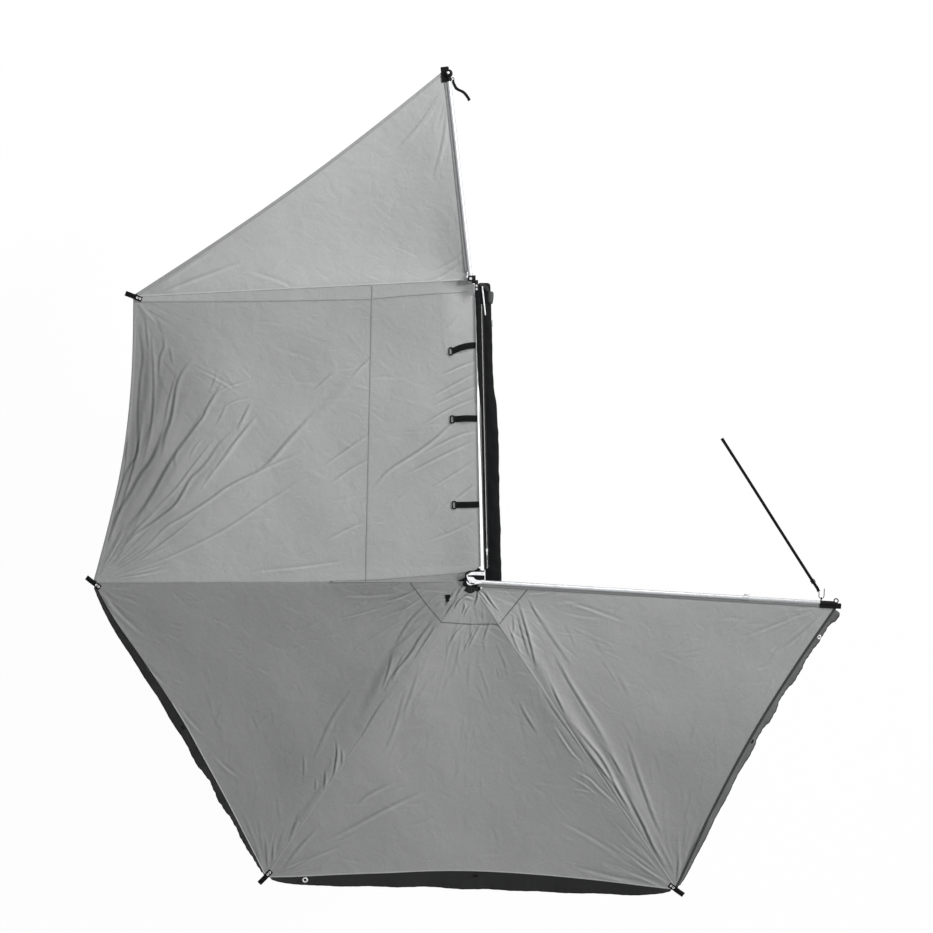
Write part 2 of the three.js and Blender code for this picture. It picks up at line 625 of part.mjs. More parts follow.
// A canopy sector spans from one arm to the next. Its inner edge goes round the pivot and its outer edge is
// drawn in between the corners, as stretched cloth is.
function sectorEdges({ first, last, firstSide, lastSide, notch, innerHeights, outerHeights, drawnIn }) {
  const inner = [beside(first, notch, firstSide, innerHeights[0]), beside(last, notch, lastSide, innerHeights[1])];
  const outer = [
    beside(first, first.reach, firstSide, outerHeights[0]),
    beside(last, last.reach, lastSide, outerHeights[1]),
  ];
  const pivot = new THREE.Vector3(first.pivot.x, first.pivot.y, 0);
  const middle = outer[0].clone().add(outer[1]).multiplyScalar(0.5).sub(pivot).setZ(0).normalize();
  const innerAt = (share) => {
    const place = inner[0].clone().lerp(inner[1], share);
    const flat = place.clone().sub(pivot).setZ(0);
    const bulge = (notch - flat.length()) * Math.sin(Math.PI * share);
    return place.addScaledVector(flat.normalize(), Math.max(0, bulge));
  };
  const outerAt = (share) =>
    outer[0].clone().lerp(outer[1], share).addScaledVector(middle, -drawnIn * Math.sin(Math.PI * share));
  return { innerAt, outerAt, middle };
}

function ruled(innerAt, outerAt, sag) {
  return (across, along) => {
    const place = innerAt(across).lerp(outerAt(across), along);
    place.z -= sag * Math.sin(Math.PI * across) * Math.sin(Math.PI * along) ** 0.8;
    return place;
  };
}

const FRONT_SECTOR = sectorEdges({
  first: ARMS.arm1,
  last: ARMS.arm2,
  firstSide: SIDE_EDGE_OFFSET,
  lastSide: -SEAM_HALF_GAP,
  notch: FRONT_NOTCH,
  innerHeights: [ARMS.arm1.level, FRONT_EDGE_HEIGHT],
  outerHeights: [ARMS.arm1.level, tipHeight(ARMS.arm2)],
  drawnIn: 60,
});
const LEFT_SECTOR = sectorEdges({
  first: ARMS.arm3,
  last: ARMS.arm4,
  firstSide: SEAM_HALF_GAP,
  lastSide: -SEAM_HALF_GAP,
  notch: HUB_NOTCH,
  innerHeights: [HUB_EDGE_HEIGHT, HUB_EDGE_HEIGHT],
  outerHeights: [tipHeight(ARMS.arm3), tipHeight(ARMS.arm4)],
  drawnIn: 57,
});
const REAR_SECTOR = sectorEdges({
  first: ARMS.arm4,
  last: ARMS.arm5,
  firstSide: SEAM_HALF_GAP,
  lastSide: -SEAM_HALF_GAP,
  notch: HUB_NOTCH,
  innerHeights: [HUB_EDGE_HEIGHT, HUB_EDGE_HEIGHT],
  outerHeights: [tipHeight(ARMS.arm4), tipHeight(ARMS.arm5)],
  drawnIn: 100,
});
const RIGHT_SECTOR = sectorEdges({
  first: ARMS.arm5,
  last: ARMS.arm6,
  firstSide: SEAM_HALF_GAP,
  lastSide: -SIDE_EDGE_OFFSET,
  notch: HUB_NOTCH,
  innerHeights: [HUB_EDGE_HEIGHT, ARMS.arm6.level],
  outerHeights: [tipHeight(ARMS.arm5), ARMS.arm6.level],
  drawnIn: 78,
});

// The side panel hangs between the rail and the tips of the third and second arms. Its inner edge cuts
// across the corners by the hub and by the front bracket.
const SIDE_CUT_SHARE = 0.06;
const SIDE_DRAWN_IN = 100;
const SIDE_RAIL_X = RAIL_FRONT - SEWN;
const SIDE_RAIL_Z = RAIL_TOP - RAIL_EDGE_DROP;
function sideInner(share) {
  const hubEnd = beside(ARMS.arm3, HUB_NOTCH, -SEAM_HALF_GAP, HUB_EDGE_HEIGHT);
  const railRear = new THREE.Vector3(SIDE_RAIL_X, -RAIL_LENGTH / 2 + RAIL_REAR_CUT, SIDE_RAIL_Z);
  const railFront = new THREE.Vector3(SIDE_RAIL_X, RAIL_LENGTH / 2 - RAIL_FRONT_CUT, SIDE_RAIL_Z);
  const frontEnd = beside(ARMS.arm2, FRONT_NOTCH, SEAM_HALF_GAP, FRONT_EDGE_HEIGHT);
  if (share < SIDE_CUT_SHARE) return hubEnd.lerp(railRear, share / SIDE_CUT_SHARE);
  if (share > 1 - SIDE_CUT_SHARE) return frontEnd.lerp(railFront, (1 - share) / SIDE_CUT_SHARE);
  return railRear.lerp(railFront, (share - SIDE_CUT_SHARE) / (1 - 2 * SIDE_CUT_SHARE));
}
function sideOuter(share) {
  const rear = beside(ARMS.arm3, ARMS.arm3.reach, -SEAM_HALF_GAP, tipHeight(ARMS.arm3));
  const front = beside(ARMS.arm2, ARMS.arm2.reach, SEAM_HALF_GAP, tipHeight(ARMS.arm2));
  const place = rear.lerp(front, share);
  place.x += SIDE_DRAWN_IN * Math.sin(Math.PI * share);
  return place;
}
const sidePanel = ruled(sideInner, sideOuter, SIDE_SAG);

// A valance hangs from a sector's outer edge: its hem stands out towards the straight line between the
// corners and waves in folds.
function valance(sector, outset) {
  const start = 0.015;
  return sheet(
    (across, along) => {
      const share = start + across * (1 - 2 * start);
      const swell = Math.sin(Math.PI * share);
      const fold = VALANCE_FOLD * swell * along * Math.sin(2 * Math.PI * VALANCE_FOLDS * share);
      const place = sector.outerAt(share).addScaledVector(sector.middle, SEWN + outset * swell * along + fold);
      place.z -= VALANCE_DROP * along * (0.35 + 0.65 * swell);
      return place;
    },
    36,
    3,
    -FABRIC,
  );
}

// A tie strap lies on the side panel by the rail, with a slotted ring at its free end.
function tieStrap(place) {
  const railSpan = RAIL_LENGTH - RAIL_REAR_CUT - RAIL_FRONT_CUT;
  const railShare = (place + RAIL_LENGTH / 2 - RAIL_REAR_CUT) / railSpan;
  const share = SIDE_CUT_SHARE + railShare * (1 - 2 * SIDE_CUT_SHARE);
  const span = sideInner(share).distanceTo(sideOuter(share));
  const over = (out) => {
    const along = (SECTOR_ROWS * out) / span;
    const row = Math.floor(along);
    const near = sidePanel(share, row / SECTOR_ROWS);
    return near.lerp(sidePanel(share, (row + 1) / SECTOR_ROWS), along - row);
  };
  const strap = sheet(
    (across, along) => {
      const at = over(SEWN + along * TIE_LENGTH);
      const lift = FABRIC + 2 * SEWN + TIE_WAVE * Math.sin(1.5 * Math.PI * along) ** 2;
      return new THREE.Vector3(at.x, place + (across - 0.5) * TIE_WIDTH, at.z + lift);
    },
    1,
    12,
    TIE_THICKNESS,
  );
  const half = TIE_RING_WIDTH / 2;
  const inside = half - TIE_RING_BAR;
  const outline = roundedRectangle(-TIE_RING_LENGTH, -half, 0, half, TIE_RING_BAR);
  const window = [TIE_RING_BAR - TIE_RING_LENGTH, -inside, -OVERRUN, -TIE_RING_BAR, inside];
  const frame = extrudeUp(outline, 0, TIE_RING_BAR).subtract(box(...window, TIE_RING_BAR + OVERRUN));
  const end = over(SEWN + TIE_LENGTH);
  const lift = FABRIC + SEWN + TIE_WAVE;
  return strap.add(frame.translate([end.x + TIE_RING_BAR, place, end.z + lift]));
}

// The bag, rolled back behind the rail: rounded sections, narrower towards its front end.
const BAG_STATION_SHARES = [
  [0, 0.86, 0.5],
  [0.02, 0.98, 0.86],
  [0.06, 1, 1],
  [0.52, 1, 1],
  [0.6, 0.95, 1],
  [0.66, 0.76, 1],
  [0.985, 0.72, 1],
  [0.995, 0.7, 0.93],
  [1, 0.64, 0.8],
];
const BAG_OUTLINE_SHARES = [
  [0, 0.06], [0.06, 0], [0.88, 0], [0.98, 0.1], [1, 0.3], [0.97, 0.58], [0.84, 0.8], [0.62, 0.92],
  [0.4, 1], [0.04, 1], [0, 0.94],
];
function travelBag() {
  const rings = BAG_STATION_SHARES.map(([along, width, height]) =>
    BAG_OUTLINE_SHARES.map(([x, z]) => [
      BAG_BACK + x * width * BAG_WIDTH,
      BAG_SHIFT + (along - 0.5) * BAG_LENGTH,
      BAG_BOTTOM + z * height * BAG_HEIGHT,
    ]),
  );
  const count = BAG_OUTLINE_SHARES.length;
  const positions = rings.flat(2);
  const faces = [];
  for (let i = 0; i + 1 < rings.length; i += 1)
    for (let j = 0; j < count; j += 1) {
      const a = i * count + j;
      const b = i * count + ((j + 1) % count);
      faces.push(a, b, b + count, a, b + count, a + count);
    }
  const last = (rings.length - 1) * count;
  for (let j = 1; j + 1 < count; j += 1) {
    faces.push(0, j + 1, j);
    faces.push(last, last + j, last + j + 1);
  }
  const geometry = new THREE.BufferGeometry();
  geometry.setAttribute("position", new THREE.BufferAttribute(new Float32Array(positions), 3));
  geometry.setIndex(faces);
  return solid(geometry);
}

// The stiff flap that closes the bag's front end, a hooked outline lying on it.
function bagEndFlap() {
  const front = BAG_SHIFT + BAG_LENGTH / 2;
  const arc = (radius, from, to) =>
    Array.from({ length: 9 }, (_, i) => {
      const angle = THREE.MathUtils.degToRad(from + ((to - from) * i) / 8);
      return [BAG_BACK + radius * Math.cos(angle), front - FLAP_REACH + radius * Math.sin(angle)];
    });
  const outline = polygon([...arc(FLAP_REACH, 12, 88), ...arc(FLAP_REACH - FLAP_WIDTH, 86, 30)]);
  return extrudeUp(outline, BAG_TOP + SEAT, BAG_TOP + SEAT + FLAP_THICKNESS);
}

const ZIP_START = BAG_SHIFT - 0.43 * BAG_LENGTH;
const ZIP_END = BAG_SHIFT + 0.43 * BAG_LENGTH;
const ZIP_LOW = BAG_TOP + SEAT;
const ZIP_HIGH = ZIP_LOW + ZIP_HEIGHT;
function bagZip() {
  const half = ZIP_WIDTH / 2;
  const crown = half / 2;
  const section = polygon([
    [ZIP_X - half, ZIP_LOW], [ZIP_X + half, ZIP_LOW], [ZIP_X + half, ZIP_LOW + ZIP_HEIGHT / 2],
    [ZIP_X + crown, ZIP_HIGH], [ZIP_X - crown, ZIP_HIGH], [ZIP_X - half, ZIP_LOW + ZIP_HEIGHT / 2],
  ]);
  return extrudeAlongY(section, ZIP_START, ZIP_END);
}

// The zip's slider rides over the chain, with its pull lying back.
function zipSlider() {
  const inner = ZIP_WIDTH / 2 + SEWN;
  const outer = inner + SLIDER_WALL;
  const roof = ZIP_HIGH + SEWN;
  const start = ZIP_START + SLIDER_FROM_END - SLIDER_LENGTH / 2;
  const section = polygon([
    [ZIP_X - outer, ZIP_LOW + SEAT], [ZIP_X - inner, ZIP_LOW + SEAT], [ZIP_X - inner, roof],
    [ZIP_X + inner, roof], [ZIP_X + inner, ZIP_LOW + SEAT], [ZIP_X + outer, ZIP_LOW + SEAT],
    [ZIP_X + outer, roof + SLIDER_WALL], [ZIP_X - outer, roof + SLIDER_WALL],
  ]);
  const half = PULL_WIDTH / 2;
  const from = start - PULL_LENGTH + SLIDER_LENGTH / 2;
  const pullLow = roof + SLIDER_WALL / 2;
  const pull = box(ZIP_X - half, from, pullLow, ZIP_X + half, start + SLIDER_LENGTH / 2, pullLow + PULL_THICKNESS);
  return extrudeAlongY(section, start, start + SLIDER_LENGTH).add(pull);
}

// Routes of the two guy straps, as steps from the eyes that they hang in, and the flat section of their
// webbing.
const REAR_GUY_STEPS = [
  [-21.4, 61.5, 5.6], [-26.4, 77.5, 5.6], [-34.4, 94.5, 4.8], [-48.4, 117.5, 1.6], [-66.4, 146.5, -1],
  [-94.4, 193.5, -6], [-132.4, 257.5, -11], [-180.4, 338.5, -18], [-232.4, 426.5, -26], [-286.4, 518.5, -34],
  [-342.4, 613.5, -43], [-398.4, 709.5, -52], [-454.4, 805.5, -61], [-510.4, 901.5, -71],
  [-566.4, 997.5, -82], [-622.4, 1093.5, -93], [-678.4, 1189.5, -105], [-728.4, 1275.5, -118],
  [-770.4, 1347.5, -130],
];
const FRONT_GUY_STEPS = [
  [2.6, -12.6, -3.9], [2.6, -13.6, -26.8], [4.6, -14.6, -61.8], [9.6, -16.6, -101.8], [15.6, -18.6, -146.8],
  [22.6, -20.6, -191.8], [32.6, -21.6, -231.8], [47.6, -22.6, -263.8], [64.6, -23.6, -289.8],
  [81.6, -24.6, -321.8], [95.6, -25.6, -361.8], [107.6, -27.6, -406.8], [118.6, -29.6, -456.8],
  [128.6, -31.6, -511.8], [136.6, -33.6, -566.8],
];
function guyRoute(steps, arm, out, left) {
  const eye = beside(arm, out, left, arm.level + AWNING_Z).toArray();
  eye[0] += AWNING_X;
  return steps.map((step) => step.map((value, axis) => eye[axis] + value));
}
const REAR_GUY_ROUTE = guyRoute(REAR_GUY_STEPS, ARMS.arm6, HOOK_EYE_PLACE, HOOK_EYE_SIDE);
const FRONT_GUY_ROUTE = guyRoute(FRONT_GUY_STEPS, ARMS.arm1, FRONT_EYE_PLACE, -FRONT_EYE_SIDE);

// The place of the first point of a route that lies at least a given length along it.
function pointPast(route, length) {
  let run = 0;
  return route.findIndex((place, i) => {
    if (i > 0) run += Math.hypot(...place.map((value, axis) => value - route[i - 1][axis]));
    return run >= length;
  });
}
function webbingSection() {
  const t = GUY_THICKNESS / 2;
  const w = GUY_WIDTH / 2;
  return [[-t, t - w], [-t / 2, -w], [t / 2, -w], [t, t - w], [t, w - t], [t / 2, w], [-t / 2, w], [-t, w - t]];
}

function armGroup(arm) {
  const group = new THREE.Group();
  group.position.set(arm.pivot.x, arm.pivot.y, arm.level);
  group.rotation.z = THREE.MathUtils.degToRad(arm.azimuth);
  return group;
}

// The arms on the telescopic pattern: all but the first, which is one plain tube.
function telescopicArm(name, collarAt, capped) {
  const arm = ARMS[name];
  const group = armGroup(arm);
  const tubeEnd = arm.reach - POLE_SETBACK;
  const tubeStart = NECK_LENGTH + SEAT;
  group.add(node(`${name}_knuckle`, MATERIALS.castAluminium, knuckle()));
  group.add(node(`${name}_tube`, MATERIALS.aluminium, tube(TUBE_RADIUS, tubeStart, collarAt)));
  group.add(node(`${name}_collar`, MATERIALS.castAluminium, collar(collarAt)));
  const inner = tube(EXTENSION_RADIUS, collarAt - EXTENSION_OVERLAP, tubeEnd);
  group.add(node(`${name}_extension`, MATERIALS.aluminium, inner));
  if (capped) {
    group.add(node(`${name}_tip_cap`, MATERIALS.blackPlastic, tipCap(tubeEnd)));
    group.add(node(`${name}_corner_tab`, MATERIALS.blackWebbing, cornerTab(arm)));
  }
  return group;
}

const awning = new THREE.Group();
awning.position.set(AWNING_X, 0, AWNING_Z);

awning.add(node("base_rail", MATERIALS.aluminium, baseRail()));
awning.add(node("hub_upper_plate", MATERIALS.aluminium, hubPlate(RAIL_TOP + SEAT)));
awning.add(node("hub_lower_plate", MATERIALS.aluminium, hubPlate(-RAIL_TOP - SEAT - PLATE_THICKNESS)));
awning.add(node("hub_post", MATERIALS.steel, post(HUB_PIVOT, -PLATE_TOP, PLATE_TOP)));
awning.add(node("front_bracket", MATERIALS.blackSteel, frontBracket()));
const frontPost = post(FRONT_PIVOT, FRONT_EAR_LOW, FRONT_EAR_HIGH + PLATE_THICKNESS);
awning.add(node("front_post", MATERIALS.steel, frontPost));
awning.add(node("travel_bag", MATERIALS.blackFabric, travelBag()));
awning.add(node("bag_end_flap", MATERIALS.blackFabric, bagEndFlap()));
awning.add(node("bag_zip", MATERIALS.blackPlastic, bagZip()));
awning.add(node("zip_slider", MATERIALS.steel, zipSlider()));
for (const [name, share] of Object.entries(TIE_SHARES))
  awning.add(node(`tie_strap_${name}`, MATERIALS.blackWebbing, tieStrap(share * RAIL_LENGTH)));

const sectors = { front: FRONT_SECTOR, left: LEFT_SECTOR, rear: REAR_SECTOR, right: RIGHT_SECTOR };
for (const [name, { innerAt, outerAt }] of Object.entries(sectors)) {
  const made = sheet(ruled(innerAt, outerAt, SECTOR_SAG), SECTOR_COLUMNS, SECTOR_ROWS, FABRIC);
  awning.add(node(`canopy_${name}`, MATERIALS.greyFabric, made));
}
awning.add(node("canopy_side", MATERIALS.greyFabric, sheet(sidePanel, SECTOR_COLUMNS, SECTOR_ROWS, FABRIC)));
awning.add(node("valance_left", MATERIALS.blackFabric, valance(LEFT_SECTOR, VALANCE_OUT.left)));
awning.add(node("valance_rear", MATERIALS.blackFabric, valance(REAR_SECTOR, VALANCE_OUT.rear)));
awning.add(node("valance_right", MATERIALS.greyFabric, valance(RIGHT_SECTOR, VALANCE_OUT.right)));

const arm1 = armGroup(ARMS.arm1);
arm1.add(node("arm1_knuckle", MATERIALS.castAluminium, knuckle()));
const arm1End = ARMS.arm1.reach - POLE_SETBACK / 2;
arm1.add(node("arm1_tube", MATERIALS.aluminium, tube(TUBE_RADIUS, NECK_LENGTH + SEAT, arm1End)));
const knobHigh = TUBE_RADIUS + RUNNING + TUBE_WALL + KNOB_RADIUS;
const knob = solid(new THREE.SphereGeometry(KNOB_RADIUS, 12, 8)).translate([arm1End - KNOB_RADIUS, 0, knobHigh]);
const stem = disc(KNOB_RADIUS / 2, WIRE_SIDES, arm1End - KNOB_RADIUS, 0);
const arm1Fitting = endFitting({
  radius: TUBE_RADIUS,
  tubeEnd: arm1End,
  plate: FRONT_PLATE,
  plateTo: FRONT_PLATE_END,
  side: 1,
  eye: {
    radius: HOOK_EYE_RADIUS,
    wire: HOOK_EYE_WIRE,
    along: FRONT_EYE_PLACE,
    out: FRONT_EYE_SIDE,
    rise: 0,
  },
});
const knobStem = extrudeUp(stem, TUBE_RADIUS + RUNNING + TUBE_WALL / 2, knobHigh);
arm1.add(node("arm1_end_fitting", MATERIALS.blackPlastic, arm1Fitting.add(knobStem).add(knob)));

const arm2 = telescopicArm("arm2", FRONT_ARM_COLLAR, true);
const arm3 = telescopicArm("arm3", HUB_ARM_COLLAR, true);
const arm4 = telescopicArm("arm4", HUB_ARM_COLLAR, true);
const arm5 = telescopicArm("arm5", HUB_ARM_COLLAR, true);
const arm6 = telescopicArm("arm6", HUB_ARM_COLLAR, false);
const arm6Fitting = endFitting({
  radius: EXTENSION_RADIUS,
  tubeEnd: ARMS.arm6.reach - POLE_SETBACK,
  plate: REAR_PLATE,
  plateTo: REAR_PLATE_END,
  side: -1,
  eye: {
    radius: EYE_RADIUS,
    wire: EYE_WIRE,
    along: ARMS.arm6.reach - EYE_RADIUS,
    out: REAR_PLATE.edge + EYE_RADIUS + EYE_WIRE - RAIL_WALL,
    rise: EYE_WIRE - FABRIC / 2,
  },
});
arm6.add(node("arm6_end_fitting", MATERIALS.blackSteel, arm6Fitting.add(hookEye())));
arm6.add(node("rear_guy_hook", MATERIALS.steel, guyHook()));
awning.add(arm1, arm2, arm3, arm4, arm5, arm6);

const part = new THREE.Group();
part.add(awning);
const feet = { front: FOOT_SPACING, middle: 0, rear: -FOOT_SPACING };
for (const [name, place] of Object.entries(feet))
  part.add(node(`${name}_foot`, MATERIALS.castAluminium, foot(place)));
part.add(node("rear_guy_strap", MATERIALS.blackWebbing, drawn(webbingSection(), REAR_GUY_ROUTE, 24)));
part.add(node("front_guy_strap", MATERIALS.blackWebbing, drawn(webbingSection(), FRONT_GUY_ROUTE, 20)));
const buckleAt = pointPast(REAR_GUY_ROUTE, BUCKLE_FROM_HOOK);
const bucklePlace = REAR_GUY_ROUTE[buckleAt];
const [runX, runY, runZ] = REAR_GUY_ROUTE[buckleAt + 1].map((value, i) => value - bucklePlace[i]);
const buckleTurn = THREE.MathUtils.radToDeg(Math.atan2(runY, runX));
const buckleTilt = -THREE.MathUtils.radToDeg(Math.atan2(runZ, Math.hypot(runX, runY)));
const buckleMade = buckle().rotate([0, buckleTilt, 0]).rotate([0, 0, buckleTurn]).translate(bucklePlace);
part.add(node("rear_guy_buckle", MATERIALS.blackPlastic, buckleMade));

export default part;
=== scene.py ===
# %% [markdown]
# # Vehicle side awning
# A 270 degree fan awning, dressed over the frame that the CAD model gives. The camera looks straight down, as
# in the photograph. Lengths in this file are millimetres in the awning's own frame, whose origin is the middle
# of the rail, until a mesh is built. The real one is a rail with six telescoping arms, which fan out from two
# pivots and stretch five panels of coated canvas. The cloth could be modelled by hand, but code ties every seam
# and strap to the frame's own sizes, so that is how it is done.

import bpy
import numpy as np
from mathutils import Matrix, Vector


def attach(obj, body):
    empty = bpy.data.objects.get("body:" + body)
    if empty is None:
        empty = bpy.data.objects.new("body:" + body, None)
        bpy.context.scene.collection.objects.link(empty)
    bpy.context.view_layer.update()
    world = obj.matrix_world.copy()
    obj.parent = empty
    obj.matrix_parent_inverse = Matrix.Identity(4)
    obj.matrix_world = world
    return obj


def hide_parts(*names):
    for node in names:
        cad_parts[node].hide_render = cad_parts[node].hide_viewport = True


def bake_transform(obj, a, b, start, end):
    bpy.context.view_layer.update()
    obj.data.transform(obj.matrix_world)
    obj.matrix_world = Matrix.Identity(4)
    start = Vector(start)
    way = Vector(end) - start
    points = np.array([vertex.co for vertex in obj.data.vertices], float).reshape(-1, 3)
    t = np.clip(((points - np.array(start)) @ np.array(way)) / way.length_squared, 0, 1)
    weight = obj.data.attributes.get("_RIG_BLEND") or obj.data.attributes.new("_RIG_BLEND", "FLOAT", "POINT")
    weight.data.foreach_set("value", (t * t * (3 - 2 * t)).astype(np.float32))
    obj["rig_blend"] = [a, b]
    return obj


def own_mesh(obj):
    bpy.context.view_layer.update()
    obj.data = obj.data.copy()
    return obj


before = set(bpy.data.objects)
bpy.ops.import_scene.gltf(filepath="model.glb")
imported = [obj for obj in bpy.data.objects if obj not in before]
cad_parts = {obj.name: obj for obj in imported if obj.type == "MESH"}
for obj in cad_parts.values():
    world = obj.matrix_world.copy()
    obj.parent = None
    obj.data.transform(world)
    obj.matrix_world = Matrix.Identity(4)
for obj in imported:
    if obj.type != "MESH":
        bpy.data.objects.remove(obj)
print("nodes in the frame:", len(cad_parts))

# %% Names and numbers that all cells use
import math

import bpy
import numpy as np
from mathutils import Vector

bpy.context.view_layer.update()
OFFSET = np.array([-76.3, 0.0, 63.0])
MM = 0.001
scene = bpy.context.scene
rng = np.random.default_rng(11)

# %% [markdown]
# ## Camera and lights
# The camera looks straight down from far above, so every place on the canopy can be compared with a place in
# the photograph. A sun alone would leave black shadows, so two large area lights fill them as an open sky does.
# Only the camera, gloss and glass see the white background, because a white world as a lamp would flatten the
# cloth.

# %% The camera
CAMERA_HEIGHT = 12000.0
TURN = math.radians(1.25)
PIXEL = 8.33
PICTURE_PIXELS = 933
SENSOR = 36
ORIGIN_PIXEL = np.array([479.5, 431.0])
CENTRE = np.array([-108.3, -295.7])

camera_data = bpy.data.cameras.new("camera")
camera_data.sensor_width = SENSOR
camera_data.lens = SENSOR * CAMERA_HEIGHT / (PICTURE_PIXELS * PIXEL)
camera_data.clip_end = 200
camera = bpy.data.objects.new("camera", camera_data)
eye_x = CENTRE[0] * math.cos(TURN) + CENTRE[1] * math.sin(TURN)
eye_y = -CENTRE[0] * math.sin(TURN) + CENTRE[1] * math.cos(TURN)
camera.location = (np.array([eye_x, eye_y, CAMERA_HEIGHT]) + OFFSET) * MM
camera.rotation_euler = (0, 0, -TURN)
scene.collection.objects.link(camera)
scene.camera = camera
print(f"lens {camera_data.lens:.1f} mm, one pixel covers {PIXEL} mm")


# %% From a place to its pixel
def to_photo(p):
    """Pixels of the photograph for places of the awning."""
    x = p[..., 0] * math.cos(TURN) - p[..., 1] * math.sin(TURN)
    y = p[..., 0] * math.sin(TURN) + p[..., 1] * math.cos(TURN)
    near = CAMERA_HEIGHT / (CAMERA_HEIGHT - p[..., 2])
    x = CENTRE[0] + (x - CENTRE[0]) * near
    y = CENTRE[1] + (y - CENTRE[1]) * near
    return np.stack([ORIGIN_PIXEL[0] + x / PIXEL, ORIGIN_PIXEL[1] - y / PIXEL], -1)


print("the rail's middle shows at pixel", to_photo(np.zeros(3)).round(1))


# %% Lights and the white studio
def light(name, kind, place, aim, power, size, colour=(1, 1, 1)):
    data = bpy.data.lights.new(name, kind)
    data.energy = power
    data.color = colour
    if kind == "AREA":
        data.shape = "RECTANGLE"
        data.size = size
        data.size_y = size
    else:
        data.angle = size
    made = bpy.data.objects.new(name, data)
    made.location = place
    ray = np.array(aim, float) - np.array(place, float)
    made.rotation_euler = Vector(ray).to_track_quat("-Z", "Y").to_euler()
    scene.collection.objects.link(made)
    return made


world = bpy.data.worlds.new("studio")
world.use_nodes = True
world.node_tree.nodes["Background"].inputs["Color"].default_value = (0.95, 0.97, 1.0, 1)
world.node_tree.nodes["Background"].inputs["Strength"].default_value = 0.16
scene.world = world
scene.view_settings.view_transform = "Standard"


def seen_rays(tree, share):
    """1 for rays from the camera, from gloss and through glass: they see the white studio itself."""
    path = tree.nodes.new("ShaderNodeLightPath")
    total = None
    for ray in ("Is Camera Ray", "Is Glossy Ray", "Is Transmission Ray"):
        if total is None:
            total = path.outputs[ray]
            continue
        largest = tree.nodes.new("ShaderNodeMath")
        largest.operation = "MAXIMUM"
        tree.links.new(total, largest.inputs[0])
        tree.links.new(path.outputs[ray], largest.inputs[1])
        total = largest.outputs[0]
    scaled_total = tree.nodes.new("ShaderNodeMath")
    scaled_total.operation = "MULTIPLY"
    scaled_total.inputs[1].default_value = share
    tree.links.new(total, scaled_total.inputs[0])
    return scaled_total.outputs[0]


def white_studio(tree, plain, out, share):
    """Mix a plain shader with white for the rays that see the studio."""
    white = tree.nodes.new("ShaderNodeEmission" if out.type == "OUTPUT_MATERIAL" else "ShaderNodeBackground")
    white.inputs["Strength"].default_value = 1.0
    white.inputs["Color"].default_value = (1, 1, 1, 1)
    mixed = tree.nodes.new("ShaderNodeMixShader")
    tree.links.new(seen_rays(tree, share), mixed.inputs[0])
    tree.links.new(plain.outputs[0], mixed.inputs[1])
    tree.links.new(white.outputs[0], mixed.inputs[2])
    tree.links.new(mixed.outputs[0], out.inputs["Surface"])


white_studio(world.node_tree, world.node_tree.nodes["Background"], world.node_tree.nodes["World Output"], 1.0)
light("key", "SUN", (8.0, 1.8, 4.9), (0, 0, 0), 2.86, math.radians(9), colour=(1.0, 0.99, 0.975))
light("front", "AREA", (2.6, 6.8, 4.2), (-0.9, -0.4, 0), 514, 2.4)
light("top", "AREA", (-0.6, 0.0, 8.6), (-0.6, -0.2, 0), 114, 5.0)

# %% [markdown]
# ## Mesh helpers
# Most pieces are one of four shapes: a grid of cloth, a section swept along a path, a profile turned about an
# axis, or small forms gathered in one mesh. Curves and modifiers could make them too. Plain functions were
# chosen, because the cloth's places come from formulas and each piece has to end as one mesh with its own UVs.


# %% Build a mesh, paint an attribute, lay out a grid
def build(name, places, faces, uv=None, smooth=True):
    """A mesh object from places in millimetres, with UVs by vertex."""
    places = (np.asarray(places, float) + OFFSET) * MM
    mesh = bpy.data.meshes.new(name)
    mesh.from_pydata(places.tolist(), [], [list(map(int, face)) for face in faces])
    if uv is not None:
        layer = mesh.uv_layers.new(name="UVMap")
        index = np.empty(len(mesh.loops), np.int64)
        mesh.loops.foreach_get("vertex_index", index)
        layer.data.foreach_set("uv", np.asarray(uv, float)[index].ravel())
    mesh.polygons.foreach_set("use_smooth", [smooth] * len(mesh.polygons))
    mesh.update()
    made = bpy.data.objects.new(name, mesh)
    scene.collection.objects.link(made)
    return made


def paint(obj, name, values):
    attribute = obj.data.attributes.get(name) or obj.data.attributes.new(name, "FLOAT", "POINT")
    attribute.data.foreach_set("value", np.asarray(values, np.float32))


def grid_faces(rows, columns, wrap=False):
    down = (np.arange(rows - 1) * columns)[:, None]
    across = np.arange(columns if wrap else columns - 1)[None, :]
    a = (down + across).ravel()
    b = (down + (across + 1) % columns).ravel()
    return np.stack([a, b, b + columns, a + columns], 1)


print("a grid of 3 by 4 points has", len(grid_faces(3, 4)), "faces")


# %% Gather small forms in one mesh
class Parts:
    """Several closed forms gathered into one mesh."""

    def __init__(self):
        self.places, self.faces = [], []
        self.count = 0

    def add(self, places, faces):
        places = np.asarray(places, float)
        self.faces += [[int(i) + self.count for i in face] for face in faces]
        self.places.append(places)
        self.count += len(places)
        return self

    def made(self, name, smooth=True):
        return build(name, np.vstack(self.places), self.faces, np.zeros((self.count, 2)), smooth)


def unit(v):
    return v / np.maximum(np.linalg.norm(v, axis=-1, keepdims=True), 1e-9)


